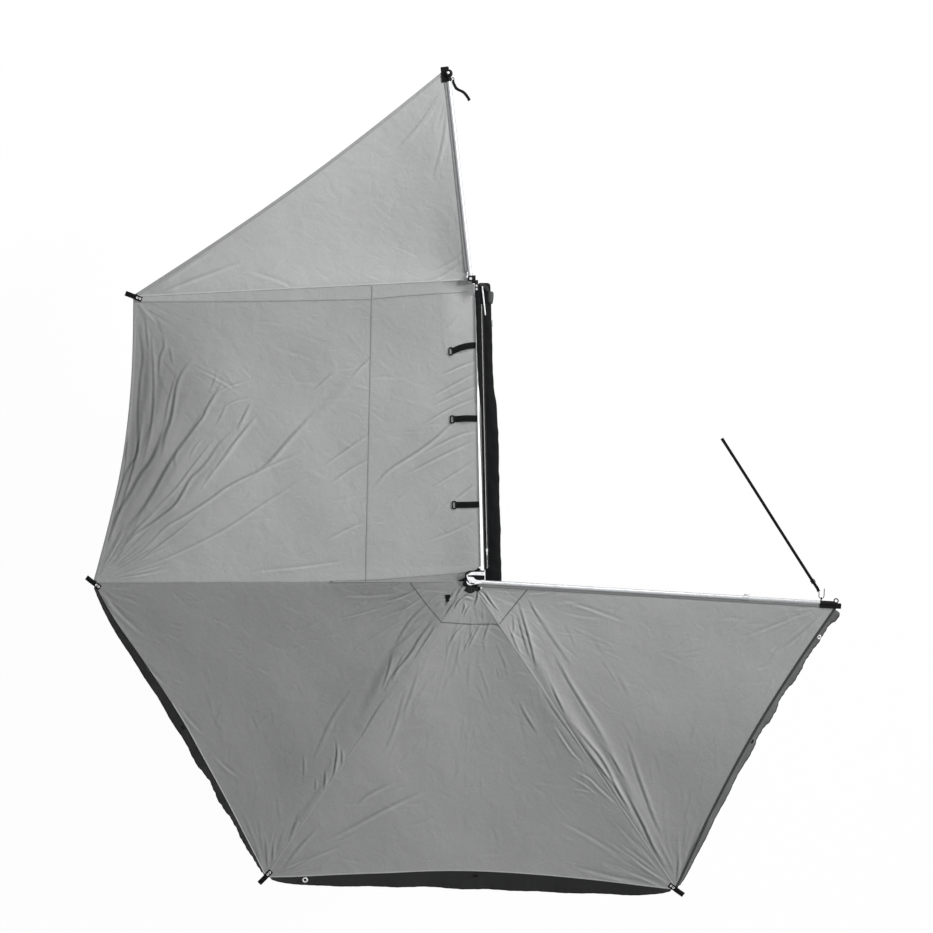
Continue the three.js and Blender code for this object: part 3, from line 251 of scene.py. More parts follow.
# %% Sweep a section along a path
def sweep(path, section, up=(0, 0, 1), scale=None):
    """Rings of a closed section along a path: places, faces and UVs (metres along, -1 to 1 across)."""
    path = np.asarray(path, float)
    section = np.asarray(section, float)
    ahead = unit(np.gradient(path, axis=0))
    up = np.broadcast_to(np.asarray(up, float), path.shape)
    side = unit(np.cross(up, ahead))
    normal = np.cross(ahead, side)
    grow = np.ones(len(path)) if scale is None else np.asarray(scale, float)
    places = path[:, None] + grow[:, None, None] * (
        section[None, :, 0, None] * side[:, None] + section[None, :, 1, None] * normal[:, None]
    )
    count = len(section)
    faces = grid_faces(len(path), count, True).tolist()
    faces.append(list(range(count))[::-1])
    faces.append([(len(path) - 1) * count + i for i in range(count)])
    run = np.concatenate([[0], np.cumsum(np.linalg.norm(np.diff(path, axis=0), axis=1))]) * MM
    half = max(np.abs(section[:, 0]).max(), 1e-6)
    uv = np.stack(np.broadcast_arrays(run[:, None], section[None, :, 0] / half), -1)
    return places.reshape(-1, 3), faces, uv.reshape(-1, 2)


def tape(width, thickness):
    """A flat webbing section with rounded edges."""
    w, t = width / 2, thickness / 2
    return [[-w, 0], [-w + t * 0.4, -t * 0.7], [-w + t, -t], [w - t, -t], [w - t * 0.4, -t * 0.7],
            [w, 0], [w - t * 0.4, t * 0.7], [w - t, t], [0, t], [-w + t, t], [-w + t * 0.4, t * 0.7]]


def ring_section(radius, count):
    angle = np.arange(count) * 2 * math.pi / count
    return np.stack([radius * np.cos(angle), radius * np.sin(angle)], 1)


print("a tape's section has", len(tape(20, 2)), "corners")


# %% Turn a profile, place a form, bend a ring
def lathe(profile, count=32):
    """A form turned about Z from a profile of (radius, height), first and last on the axis or closed by caps."""
    profile = np.asarray(profile, float)
    angle = np.arange(count) * 2 * math.pi / count
    places = np.stack(
        [
            profile[:, None, 0] * np.cos(angle),
            profile[:, None, 0] * np.sin(angle),
            np.broadcast_to(profile[:, None, 1], (len(profile), count)),
        ],
        -1,
    )
    faces = grid_faces(len(profile), count, True).tolist()
    faces.append(list(range(count))[::-1])
    faces.append([(len(profile) - 1) * count + i for i in range(count)])
    return places.reshape(-1, 3), faces


def frame_at(place, axis, right=(1, 0, 0)):
    """A function that puts local points at a place, with local Z along an axis."""
    z = unit(np.asarray(axis, float))
    x = np.asarray(right, float)
    x = unit(x - z * (x @ z))
    turned = np.stack([x, np.cross(z, x), z])
    return lambda p: np.asarray(p, float) @ turned + np.asarray(place, float)


def torus_points(radius, wire, steps, count):
    angle = np.arange(steps) * 2 * math.pi / steps
    turn = np.arange(count) * 2 * math.pi / count
    out = radius + wire * np.cos(turn)[None, :]
    places = np.stack(
        [
            out * np.cos(angle)[:, None],
            out * np.sin(angle)[:, None],
            np.broadcast_to(wire * np.sin(turn)[None, :], (steps, count)),
        ],
        -1,
    ).reshape(-1, 3)
    faces = []
    for i in range(steps):
        for j in range(count):
            a, b = i * count + j, i * count + (j + 1) % count
            c = ((i + 1) % steps) * count
            faces.append([a, c + j, c + (j + 1) % count, b])
    return places, faces


def smooth_line(points, steps):
    """A Catmull-Rom line through points."""
    p = np.asarray(points, float)
    p = np.vstack([2 * p[0] - p[1], p, 2 * p[-1] - p[-2]])
    out = []
    for i in range(1, len(p) - 2):
        t = np.linspace(0, 1, steps, endpoint=False)[:, None]
        a, b, c, d = p[i - 1], p[i], p[i + 1], p[i + 2]
        out.append(0.5 * (2 * b + (c - a) * t + (2 * a - 5 * b + 4 * c - d) * t**2 + (3 * b - a - 3 * c + d) * t**3))
    out.append(p[-2][None])
    return np.vstack(out)


print("a line through 3 points in steps of 8 has", len(smooth_line([[0, 0], [1, 1], [2, 0]], 8)), "points")

# %% [markdown]
# ## Materials
# Real finishes change within millimetres: a weave, ribs, stitches, drawn lines, the grain of a casting. Images
# could carry them, but waves and noise need no files and stay sharp close up. Two small classes let a node tree
# be written as sums and products. Cloth reads its own UVs in metres, so that its weave follows the surface, and
# metal reads the object's own coordinates.


# %% Shader values as Python expressions
class Value:
    """A shader value: Python's operators on it add the Math nodes."""

    def __init__(self, shade, socket):
        self.shade, self.socket = shade, socket

    def __add__(self, other):
        return self.shade.math("ADD", self, other)

    def __sub__(self, other):
        return self.shade.math("SUBTRACT", self, other)

    def __rsub__(self, other):
        return self.shade.math("SUBTRACT", other, self)

    def __mul__(self, other):
        return self.shade.math("MULTIPLY", self, other)

    def __abs__(self):
        return self.shade.math("ABSOLUTE", self)

    __radd__, __rmul__ = __add__, __mul__

    def wave(self, length):
        """A sine of this value with the given wavelength."""
        return self.shade.math("SINE", self * (2 * math.pi / length))

    def span(self, low, high, to_low=0.0, to_high=1.0):
        ins = {"Value": self, "From Min": low, "From Max": high, "To Min": to_low, "To Max": to_high}
        return Value(self.shade, self.shade.node("MapRange", ins, clamp=True).outputs[0])


print("operators of a shader value: + - * and abs()")


# %% A material around one shader
class Shade:
    """A procedural material around one Principled shader."""

    def __init__(self, name, colour, rough, metal=0.0, **sockets):
        self.material = bpy.data.materials.new(name)
        self.material.use_nodes = True
        self.tree = self.material.node_tree
        self.shader = self.tree.nodes["Principled BSDF"]
        self.shader.inputs["Base Color"].default_value = (*colour, 1)
        self.shader.inputs["Roughness"].default_value = rough
        self.shader.inputs["Metallic"].default_value = metal
        for key, value in sockets.items():
            self.shader.inputs[key.replace("_", " ")].default_value = value
        self.bumped = None

    def node(self, kind, ins=(), **props):
        made = self.tree.nodes.new("ShaderNode" + kind)
        for key, value in props.items():
            setattr(made, key, value)
        for key, value in dict(ins).items():
            value = value.socket if isinstance(value, Value) else value
            if isinstance(value, bpy.types.NodeSocket):
                self.tree.links.new(value, made.inputs[key])
            else:
                made.inputs[key].default_value = value
        return made

    def math(self, operation, a, b=0.0):
        return Value(self, self.node("Math", {0: a, 1: b}, operation=operation).outputs[0])

    def coords(self, which="Object", scale=(1, 1, 1), turn=0.0):
        source = self.node("TexCoord").outputs[which]
        if scale == (1, 1, 1) and not turn:
            return source
        ins = {"Vector": source, "Scale": scale, "Rotation": (0, 0, turn)}
        return self.node("Mapping", ins, vector_type="TEXTURE" if turn else "POINT").outputs[0]

    def noise(self, where, scale, detail=3.0, rough=0.5, distortion=0.0):
        ins = {"Vector": where, "Scale": scale, "Detail": detail, "Roughness": rough, "Distortion": distortion}
        return Value(self, self.node("TexNoise", ins).outputs[0])

    def attribute(self, name):
        return Value(self, self.node("Attribute", attribute_name=name).outputs["Fac"])

    def mix(self, fac, a, b):
        a, b = ((*x, 1) if isinstance(x, tuple) else x for x in (a, b))
        return self.node("Mix", {0: fac, 6: a, 7: b}, data_type="RGBA").outputs[2]

    def colour(self, socket):
        self.tree.links.new(socket, self.shader.inputs["Base Color"])

    def rough(self, value):
        self.tree.links.new(value.socket, self.shader.inputs["Roughness"])

    def bump(self, height, distance, strength=1.0):
        ins = {"Height": height, "Distance": distance, "Strength": strength}
        if self.bumped is not None:
            ins["Normal"] = self.bumped
        self.bumped = self.node("Bump", ins).outputs[0]
        self.tree.links.new(self.bumped, self.shader.inputs["Normal"])


def weave(u, v, pitch):
    """Height of a plain weave, from UVs in metres."""
    return u.wave(pitch) * v.wave(pitch)


def split_uv(shade):
    made = shade.node("SeparateXYZ", {0: shade.coords("UV")})
    return Value(shade, made.outputs[0]), Value(shade, made.outputs[1])


def scaled(colour, factor):
    return tuple(x * factor for x in colour)


print("half of a mid grey:", scaled((0.5, 0.5, 0.5), 0.5))


# %% Canvas, black cloth, webbing and hems
def canvas(name, colour, rough=0.6, crease_darkening=0.42):
    s = Shade(name, colour, rough, Sheen_Weight=0.06, Sheen_Roughness=0.5, Specular_IOR_Level=0.35)
    where = s.coords("Object")
    u, v = split_uv(s)
    cloudy = s.noise(where, 1.7, 4.0, 0.55).span(0.3, 0.7, 0.96, 1.04)
    mottled = s.noise(where, 38.0, 3.0, 0.6).span(0.25, 0.75)
    # Painted light: the tone attribute darkens the cloth as painted shade where it slopes away from the light, the
    # ridge attribute adds a painted highlight on fold ridges, and the crease attribute adds painted shade in the
    # creases. The noise is the cloth's own mottling.
    ridge_highlight, crease_shade = s.attribute("RidgeHighlight"), s.attribute("CreaseShade")
    tone = s.attribute("ShadedTone") * cloudy * (1.015 - 0.04 * mottled) * (1 + 0.28 * ridge_highlight) * (1 - crease_darkening * crease_shade)
    s.colour(s.mix(tone, (0.0, 0.0, 0.0), scaled(colour, 2.0)))
    s.rough(rough - 0.06 + 0.12 * mottled)
    s.bump(s.noise(where, 6.0, 4.0, 0.5, 0.6), 0.012, 0.5)
    s.bump(s.noise(where, 17.0, 5.0, 0.62, 1.4), 0.005, 0.45)
    s.bump(s.noise(where, 46.0, 4.0, 0.6, 0.4), 0.0016, 0.5)
    s.bump(weave(u, v, 0.0013), 0.00012, 0.5)
    return s.material


def black_cloth(name, colour, rough=0.75):
    s = Shade(name, colour, rough, Specular_IOR_Level=0.05 if colour[0] < 0.01 else 0.12)
    where = s.coords("Object")
    u, v = split_uv(s)
    dusty = s.noise(where, 9.0, 4.0, 0.6).span(0.35, 0.75)
    base = s.mix(0.5 * dusty, colour, scaled(colour, 1.6))
    # Painted shade: the crease attribute darkens the cloth in its folds.
    s.colour(s.mix(0.5 * s.attribute("CreaseShade"), base, scaled(colour, 0.4)))
    s.rough(rough - 0.08 + 0.14 * dusty)
    s.bump(s.noise(where, 24.0, 4.0, 0.6, 0.4), 0.0022, 0.6)
    s.bump(weave(u, v, 0.0016), 0.0002, 0.6)
    return s.material


def webbing(name, colour, stitch=(0.05, 0.05, 0.05)):
    """Ribbed webbing: UVs run in metres along it and from -1 to 1 across it."""
    s = Shade(name, colour, 0.72, Specular_IOR_Level=0.05)
    u, v = split_uv(s)
    ribs = (u.wave(0.0024) + 1.0) * (v.wave(0.185) + 1.6)
    worn = s.noise(s.coords("Object"), 60.0, 3.0).span(0.4, 0.8)
    base = s.mix(0.4 * worn, colour, scaled(colour, 2.0))
    base = s.mix(0.5 * abs(v).span(0.82, 0.96), base, scaled(colour, 0.55))
    thread = abs(abs(v) - 0.74).span(0.035, 0.055, 1, 0) * u.wave(0.0045).span(-0.35, -0.15)
    s.colour(s.mix(0.6 * thread, base, stitch))
    s.bump(ribs, 0.0003, 0.7)
    s.bump(thread, 0.0004, 0.8)
    return s.material


def hem_cloth(name, colour, row, thread=None, rough=0.62, edges=0.5):
    """A folded hem or a felled seam: the canopy's cloth with a row of stitches on each side of its middle."""
    s = Shade(name, colour, rough, Sheen_Weight=0.0, Specular_IOR_Level=0.3 if colour[0] > 0.05 else 0.1)
    u, v = split_uv(s)
    cloudy = s.noise(s.coords("Object"), 30.0, 3.0, 0.6).span(0.3, 0.7)
    base = s.mix(cloudy, scaled(colour, 0.93), scaled(colour, 1.06))
    base = s.mix(edges * abs(v).span(0.86, 0.98), base, scaled(colour, 0.4))
    lines = abs(abs(v) - row).span(0.05, 0.09, 1, 0)
    stitches = lines * u.wave(0.0055).span(-0.45, -0.2)
    s.colour(s.mix(0.8 * stitches, base, thread or scaled(colour, 0.35)))
    s.bump(s.noise(s.coords("UV", (0.16, 1, 1)), 420.0, 2.0), 0.0012, 0.5)
    s.bump(stitches, 0.0005, 0.6)
    return s.material


# %% Metal, castings and plastic
def metal(name, colour, rough, turn=0.0, stretch=90.0):
    """Extruded or drawn metal, with its fine lines along the turned X axis."""
    s = Shade(name, colour, rough, 1.0)
    lines = s.noise(s.coords("Object", (1.0, 1.0 / stretch, 1.0 / stretch), turn), 11.0, 5.0, 0.65)
    spots = s.noise(s.coords("Object"), 14.0, 5.0, 0.6)
    s.colour(s.mix(spots.span(0.35, 0.75), colour, scaled(colour, 0.86)))
    s.rough(lines.span(0.3, 0.7, rough - 0.07, rough + 0.08) + spots.span(0.5, 0.8, 0, 0.08))
    s.bump(lines, 0.00012, 0.4)
    return s.material


def cast(name, colour, rough, grain=0.0004, metallic=0.85, worn=None):
    """Cast, milled or moulded surfaces: a fine grain, cloudy gloss and lighter worn edges."""
    s = Shade(name, colour, rough, metallic)
    where = s.coords("Object")
    broad = s.noise(where, 30.0, 5.0, 0.6).span(0.35, 0.7)
    base = s.mix(broad, scaled(colour, 0.85), scaled(colour, 1.1))
    if worn:
        sharp = Value(s, s.node("NewGeometry").outputs["Pointiness"])
        base = s.mix(sharp.span(0.52, 0.6), base, worn)
    s.colour(base)
    s.rough(rough - 0.08 + 0.16 * broad)
    s.bump(s.noise(where, 900.0, 3.0, 0.6), grain, 0.35)
    s.bump(broad, 0.0004, 0.2)
    return s.material


# %% The awning's finishes
GREY = (0.35, 0.357, 0.354)
M = {
    "canvas_lining": black_cloth("valance lining", (0.1, 0.102, 0.104), 0.7),
    "lining_hem": hem_cloth("lining hem", (0.05, 0.052, 0.053), 0.5),
    "seam": hem_cloth("felled seam", scaled(GREY, 0.8), 0.4, edges=0.9),
    # The seams over arms 2, 4 and 5 are tinted to the painted shade of the cloth beside them, paler over arm 2 and
    # darker over arms 4 and 5.
    "arm4_seam": hem_cloth("felled seam over arm 4", scaled(GREY, 0.76), 0.5, scaled(GREY, 0.62), edges=0.1),
    "arm5_seam": hem_cloth("felled seam over arm 5", scaled(GREY, 0.86), 0.5, scaled(GREY, 0.72), edges=0.1),
    "pale_seam": hem_cloth("felled seam over arm 2", scaled(GREY, 1.16), 0.5, scaled(GREY, 1.0), edges=0.1),
    "hem": hem_cloth("folded hem", scaled(GREY, 0.78), 0.55),
    "light_hem": hem_cloth("folded hem, pale", scaled(GREY, 1.12), 0.4, scaled(GREY, 0.6), edges=0.5),
    "tube_hem": hem_cloth("grey edge hem", (0.2, 0.204, 0.206), 0.5),
    "edge_hem": hem_cloth("dark edge hem", (0.016, 0.0165, 0.017), 0.5),
    "dark_seam": hem_cloth("patch seam", scaled(GREY, 0.36), 0.5, edges=0.3),
    # A grey strip that is painted shade on the rail's top.
    "rail_tape": hem_cloth("rail tape", (0.17, 0.172, 0.174), 0.5),
    "black": black_cloth("black cloth", (0.024, 0.0245, 0.025)),
    "bag": black_cloth("coated bag cloth", (0.0042, 0.0045, 0.005), 0.6),
    "webbing": webbing("black webbing", (0.0065, 0.0068, 0.0072), (0.04, 0.04, 0.04)),
    "aluminium": metal("anodised extrusion", (0.7, 0.71, 0.72), 0.34, math.pi / 2),
    "plate": cast("milled plate", (0.56, 0.57, 0.58), 0.4, 0.0002, 1.0),
    "cast": cast("cast aluminium", (0.36, 0.37, 0.38), 0.46, 0.0005, 0.95),
    "steel": metal("zinc plated steel", (0.45, 0.46, 0.47), 0.32),
    "black_steel": cast("black coated steel", (0.006, 0.006, 0.0065), 0.5, 0.0003, 0.0, (0.02, 0.02, 0.02)),
    "plastic": cast("black moulded plastic", (0.0045, 0.0045, 0.0048), 0.5, 0.0003, 0.0),
    "nickel": cast("nickel eyelet", (0.7, 0.69, 0.67), 0.34, 0.0001, 1.0),
    "eyelet": cast("plated eyelet", (0.8, 0.8, 0.79), 0.42, 0.0001, 0.35),
    "knob": cast("white moulded knob", (0.75, 0.75, 0.74), 0.35, 0.0001, 0.0),
}
M["canvas"] = canvas("awning canvas", GREY)
for key in ("black_steel", "plastic"):
    M[key].node_tree.nodes["Principled BSDF"].inputs["Specular IOR Level"].default_value = 0.07


def dress(obj, material, slot, body=None):
    obj.data.materials.clear()
    obj.data.materials.append(M[material] if isinstance(material, str) else material)
    if body:
        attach(obj, body)
    return obj


print("materials:", len(M))

# %% [markdown]
# ## The canopy's surfaces, as the CAD has them
# Each panel is stretched between two arms and sags a little between them. A cloth simulation could find that
# shape, but it would leave the frame's own surface, which the other pieces have to meet. So the surface is
# worked out from the arms' directions, and whatever is sewn to a panel asks the same function for its place.

# %% The arms: pivot, level, azimuth in degrees and reach
HUB = (-105.0, -1245.0)
FRONT = (-47.0, 1245.0)
ARMS = {
    "arm1": (FRONT, 168.8, 95.0, 1725.0),
    "arm2": (FRONT, 122.8, 181.6, 2779.0),
    "arm3": (HUB, -69.0, 179.1, 3153.0),
    "arm4": (HUB, -23.0, 234.1, 3006.0),
    "arm5": (HUB, 23.0, 302.5, 3084.0),
    "arm6": (HUB, 69.0, 355.3, 3051.0),
}


def beside(arm, out, left, height):
    (x, y), _, azimuth, _ = ARMS[arm]
    c, s = math.cos(math.radians(azimuth)), math.sin(math.radians(azimuth))
    out, left, height = np.broadcast_arrays(np.asarray(out, float), left, height)
    return np.stack([x + out * c - left * s, y + out * s + left * c, height], -1)


ARM1_LEVEL, ARM6_LEVEL = ARMS["arm1"][1], ARMS["arm6"][1]
TUBE_HALF = 17.5


def tip(arm):
    """The height of the cloth on an arm's tube."""
    return ARMS[arm][1] + TUBE_HALF


print("arms:", {arm: reach for arm, (_, _, _, reach) in ARMS.items()})


# %% A panel between two arms
class Sector:
    """A panel between two arms: across runs from the first to the last, along from the pivot outwards."""

    sag = 45.0
    power = 0.8
    slack = None

    def __init__(self, first, last, sides, notch, inner_heights, outer_heights, drawn_in):
        pivot = np.array([*ARMS[first][0], 0.0])
        self.first, self.last, self.notch, self.drawn_in, self.pivot = first, last, notch, drawn_in, pivot
        self.a = [beside(first, notch, sides[0], inner_heights[0]), beside(last, notch, sides[1], inner_heights[1])]
        self.b = [
            beside(first, ARMS[first][3], sides[0], outer_heights[0]),
            beside(last, ARMS[last][3], sides[1], outer_heights[1]),
        ]
        middle = (self.b[0] + self.b[1]) / 2 - pivot
        middle[2] = 0
        self.middle = unit(middle)

    def inner(self, t):
        place = self.a[0] + (self.a[1] - self.a[0]) * t[..., None]
        flat = place - self.pivot
        flat[..., 2] = 0
        size = np.linalg.norm(flat, axis=-1)
        bulge = np.maximum(0, (self.notch - size) * np.sin(math.pi * t))
        return place + unit(flat) * bulge[..., None]

    def outer(self, t):
        place = self.b[0] + (self.b[1] - self.b[0]) * t[..., None]
        slack = np.interp(t, *self.slack) if self.slack else 0.0
        return place - self.middle * (self.drawn_in * np.sin(math.pi * t) - slack)[..., None]

    def base(self, across, along):
        across, along = np.broadcast_arrays(np.asarray(across, float), np.asarray(along, float))
        place = self.inner(across) * (1 - along[..., None]) + self.outer(across) * along[..., None]
        inside = np.clip(along, 0, 1)
        bowed = (np.hypot(np.sin(math.pi * across), 0.14) - 0.14) / 0.87
        place[..., 2] -= self.sag * bowed * np.sin(math.pi * inside) ** self.power
        place[..., 2] += self.eased(across, inside)
        return place

    def eased(self, across, along):
        return 0.0

    def reach(self, across):
        return np.zeros_like(across)


print("a sector sags by", Sector.sag, "mm")

# %% The side panel between the rail and two arms
HUB_EDGE, FRONT_EDGE = 53.0, 152.8
GROOVE_X, GROOVE_Z, GROOVE_END = -15.5, 80.0, 1120


class SidePanel(Sector):
    sag = 35.0

    def eased(self, across, along):
        """The cloth bridges the bends that the frame gives it beside the rail's two ends."""
        stiff = np.interp(across, [0, 0.06, 0.94, 1], [HUB_EDGE, GROOVE_Z, GROOVE_Z, FRONT_EDGE])
        eased = 53 + 27 * smoothstep(across / 0.3) + 72.8 * np.clip((across - 0.72) / 0.28, 0, 1) ** 2
        return (eased - stiff) * (1 - along) * smoothstep(along / 0.1)

    def reach(self, across):
        """How far the cloth goes on past the CAD's slanting edge, towards the brackets."""
        limit = np.interp(across, [0, 0.012, 0.035, 0.06, 0.94, 0.982, 0.99, 1],
                          [-221, -160, -88, -16, -16, -17, -66, -76])
        edge = self.inner(across)[..., 0]
        return np.maximum(limit - edge, 0) / (edge - self.outer(across)[..., 0])

    def __init__(self):
        self.first, self.last = "arm3", "arm2"

    def inner(self, t):
        hub_end = beside("arm3", 115, -0.4, HUB_EDGE)
        rear = np.array([GROOVE_X, -GROOVE_END, GROOVE_Z])
        front = np.array([GROOVE_X, GROOVE_END, GROOVE_Z])
        front_end = beside("arm2", 60, 0.4, FRONT_EDGE)
        cut = 0.06
        stations = [0, cut, 1 - cut, 1]
        corners = np.stack([hub_end, rear, front, front_end])
        return np.stack([np.interp(t, stations, corners[:, i]) for i in range(3)], -1)

    def outer(self, t):
        rear = beside("arm3", ARMS["arm3"][3], -0.4, tip("arm3"))
        front = beside("arm2", ARMS["arm2"][3], 0.4, tip("arm2"))
        place = rear + (front - rear) * t[..., None]
        place[..., 0] += 100 * np.sin(math.pi * t)
        return place


def smoothstep(x):
    x = np.clip(x, 0, 1)
    return x * x * (3 - 2 * x)


print("the side panel sags by", SidePanel.sag, "mm")

# %% The five surfaces and their outer edges
PANELS = {
    "front": Sector("arm1", "arm2", (24, -0.4), 60, (ARM1_LEVEL, FRONT_EDGE), (ARM1_LEVEL, tip("arm2")), 60),
    "left": Sector("arm3", "arm4", (0.4, -0.4), 115, (HUB_EDGE, HUB_EDGE), (tip("arm3"), tip("arm4")), 57),
    "rear": Sector("arm4", "arm5", (0.4, -0.4), 115, (HUB_EDGE, HUB_EDGE), (tip("arm4"), tip("arm5")), 100),
    "right": Sector("arm5", "arm6", (0.4, -24), 115, (HUB_EDGE, ARM6_LEVEL), (tip("arm5"), ARM6_LEVEL), 78),
    "side": SidePanel(),
}

# The outer edges as photographed: how far each lies outside the frame's even curve, by its share.
grid = np.linspace(0, 1, 61)
EDGES_OUT = {
    "left": ([0, 0.06, 0.13, 0.26, 0.4, 0.5, 0.6, 0.8, 1], [0, 24, 34, 19, 6, 0, 6, 2, 0]),
    "rear": ([0, 0.07, 0.3, 0.42, 0.5, 0.8, 1], [0, 12, 15, 0, -5, -2, 0]),
}
for name, (shares, values) in EDGES_OUT.items():
    padded = np.pad(np.interp(grid, shares, values), 3, "edge")
    PANELS[name].slack = (grid, np.convolve(padded, np.hanning(9)[1:-1] / 4, "valid"))
    PANELS[name].slack[1][[0, -1]] = 0
    print(f"{name} edge lies up to {PANELS[name].slack[1].max():.0f} mm outside the even curve")
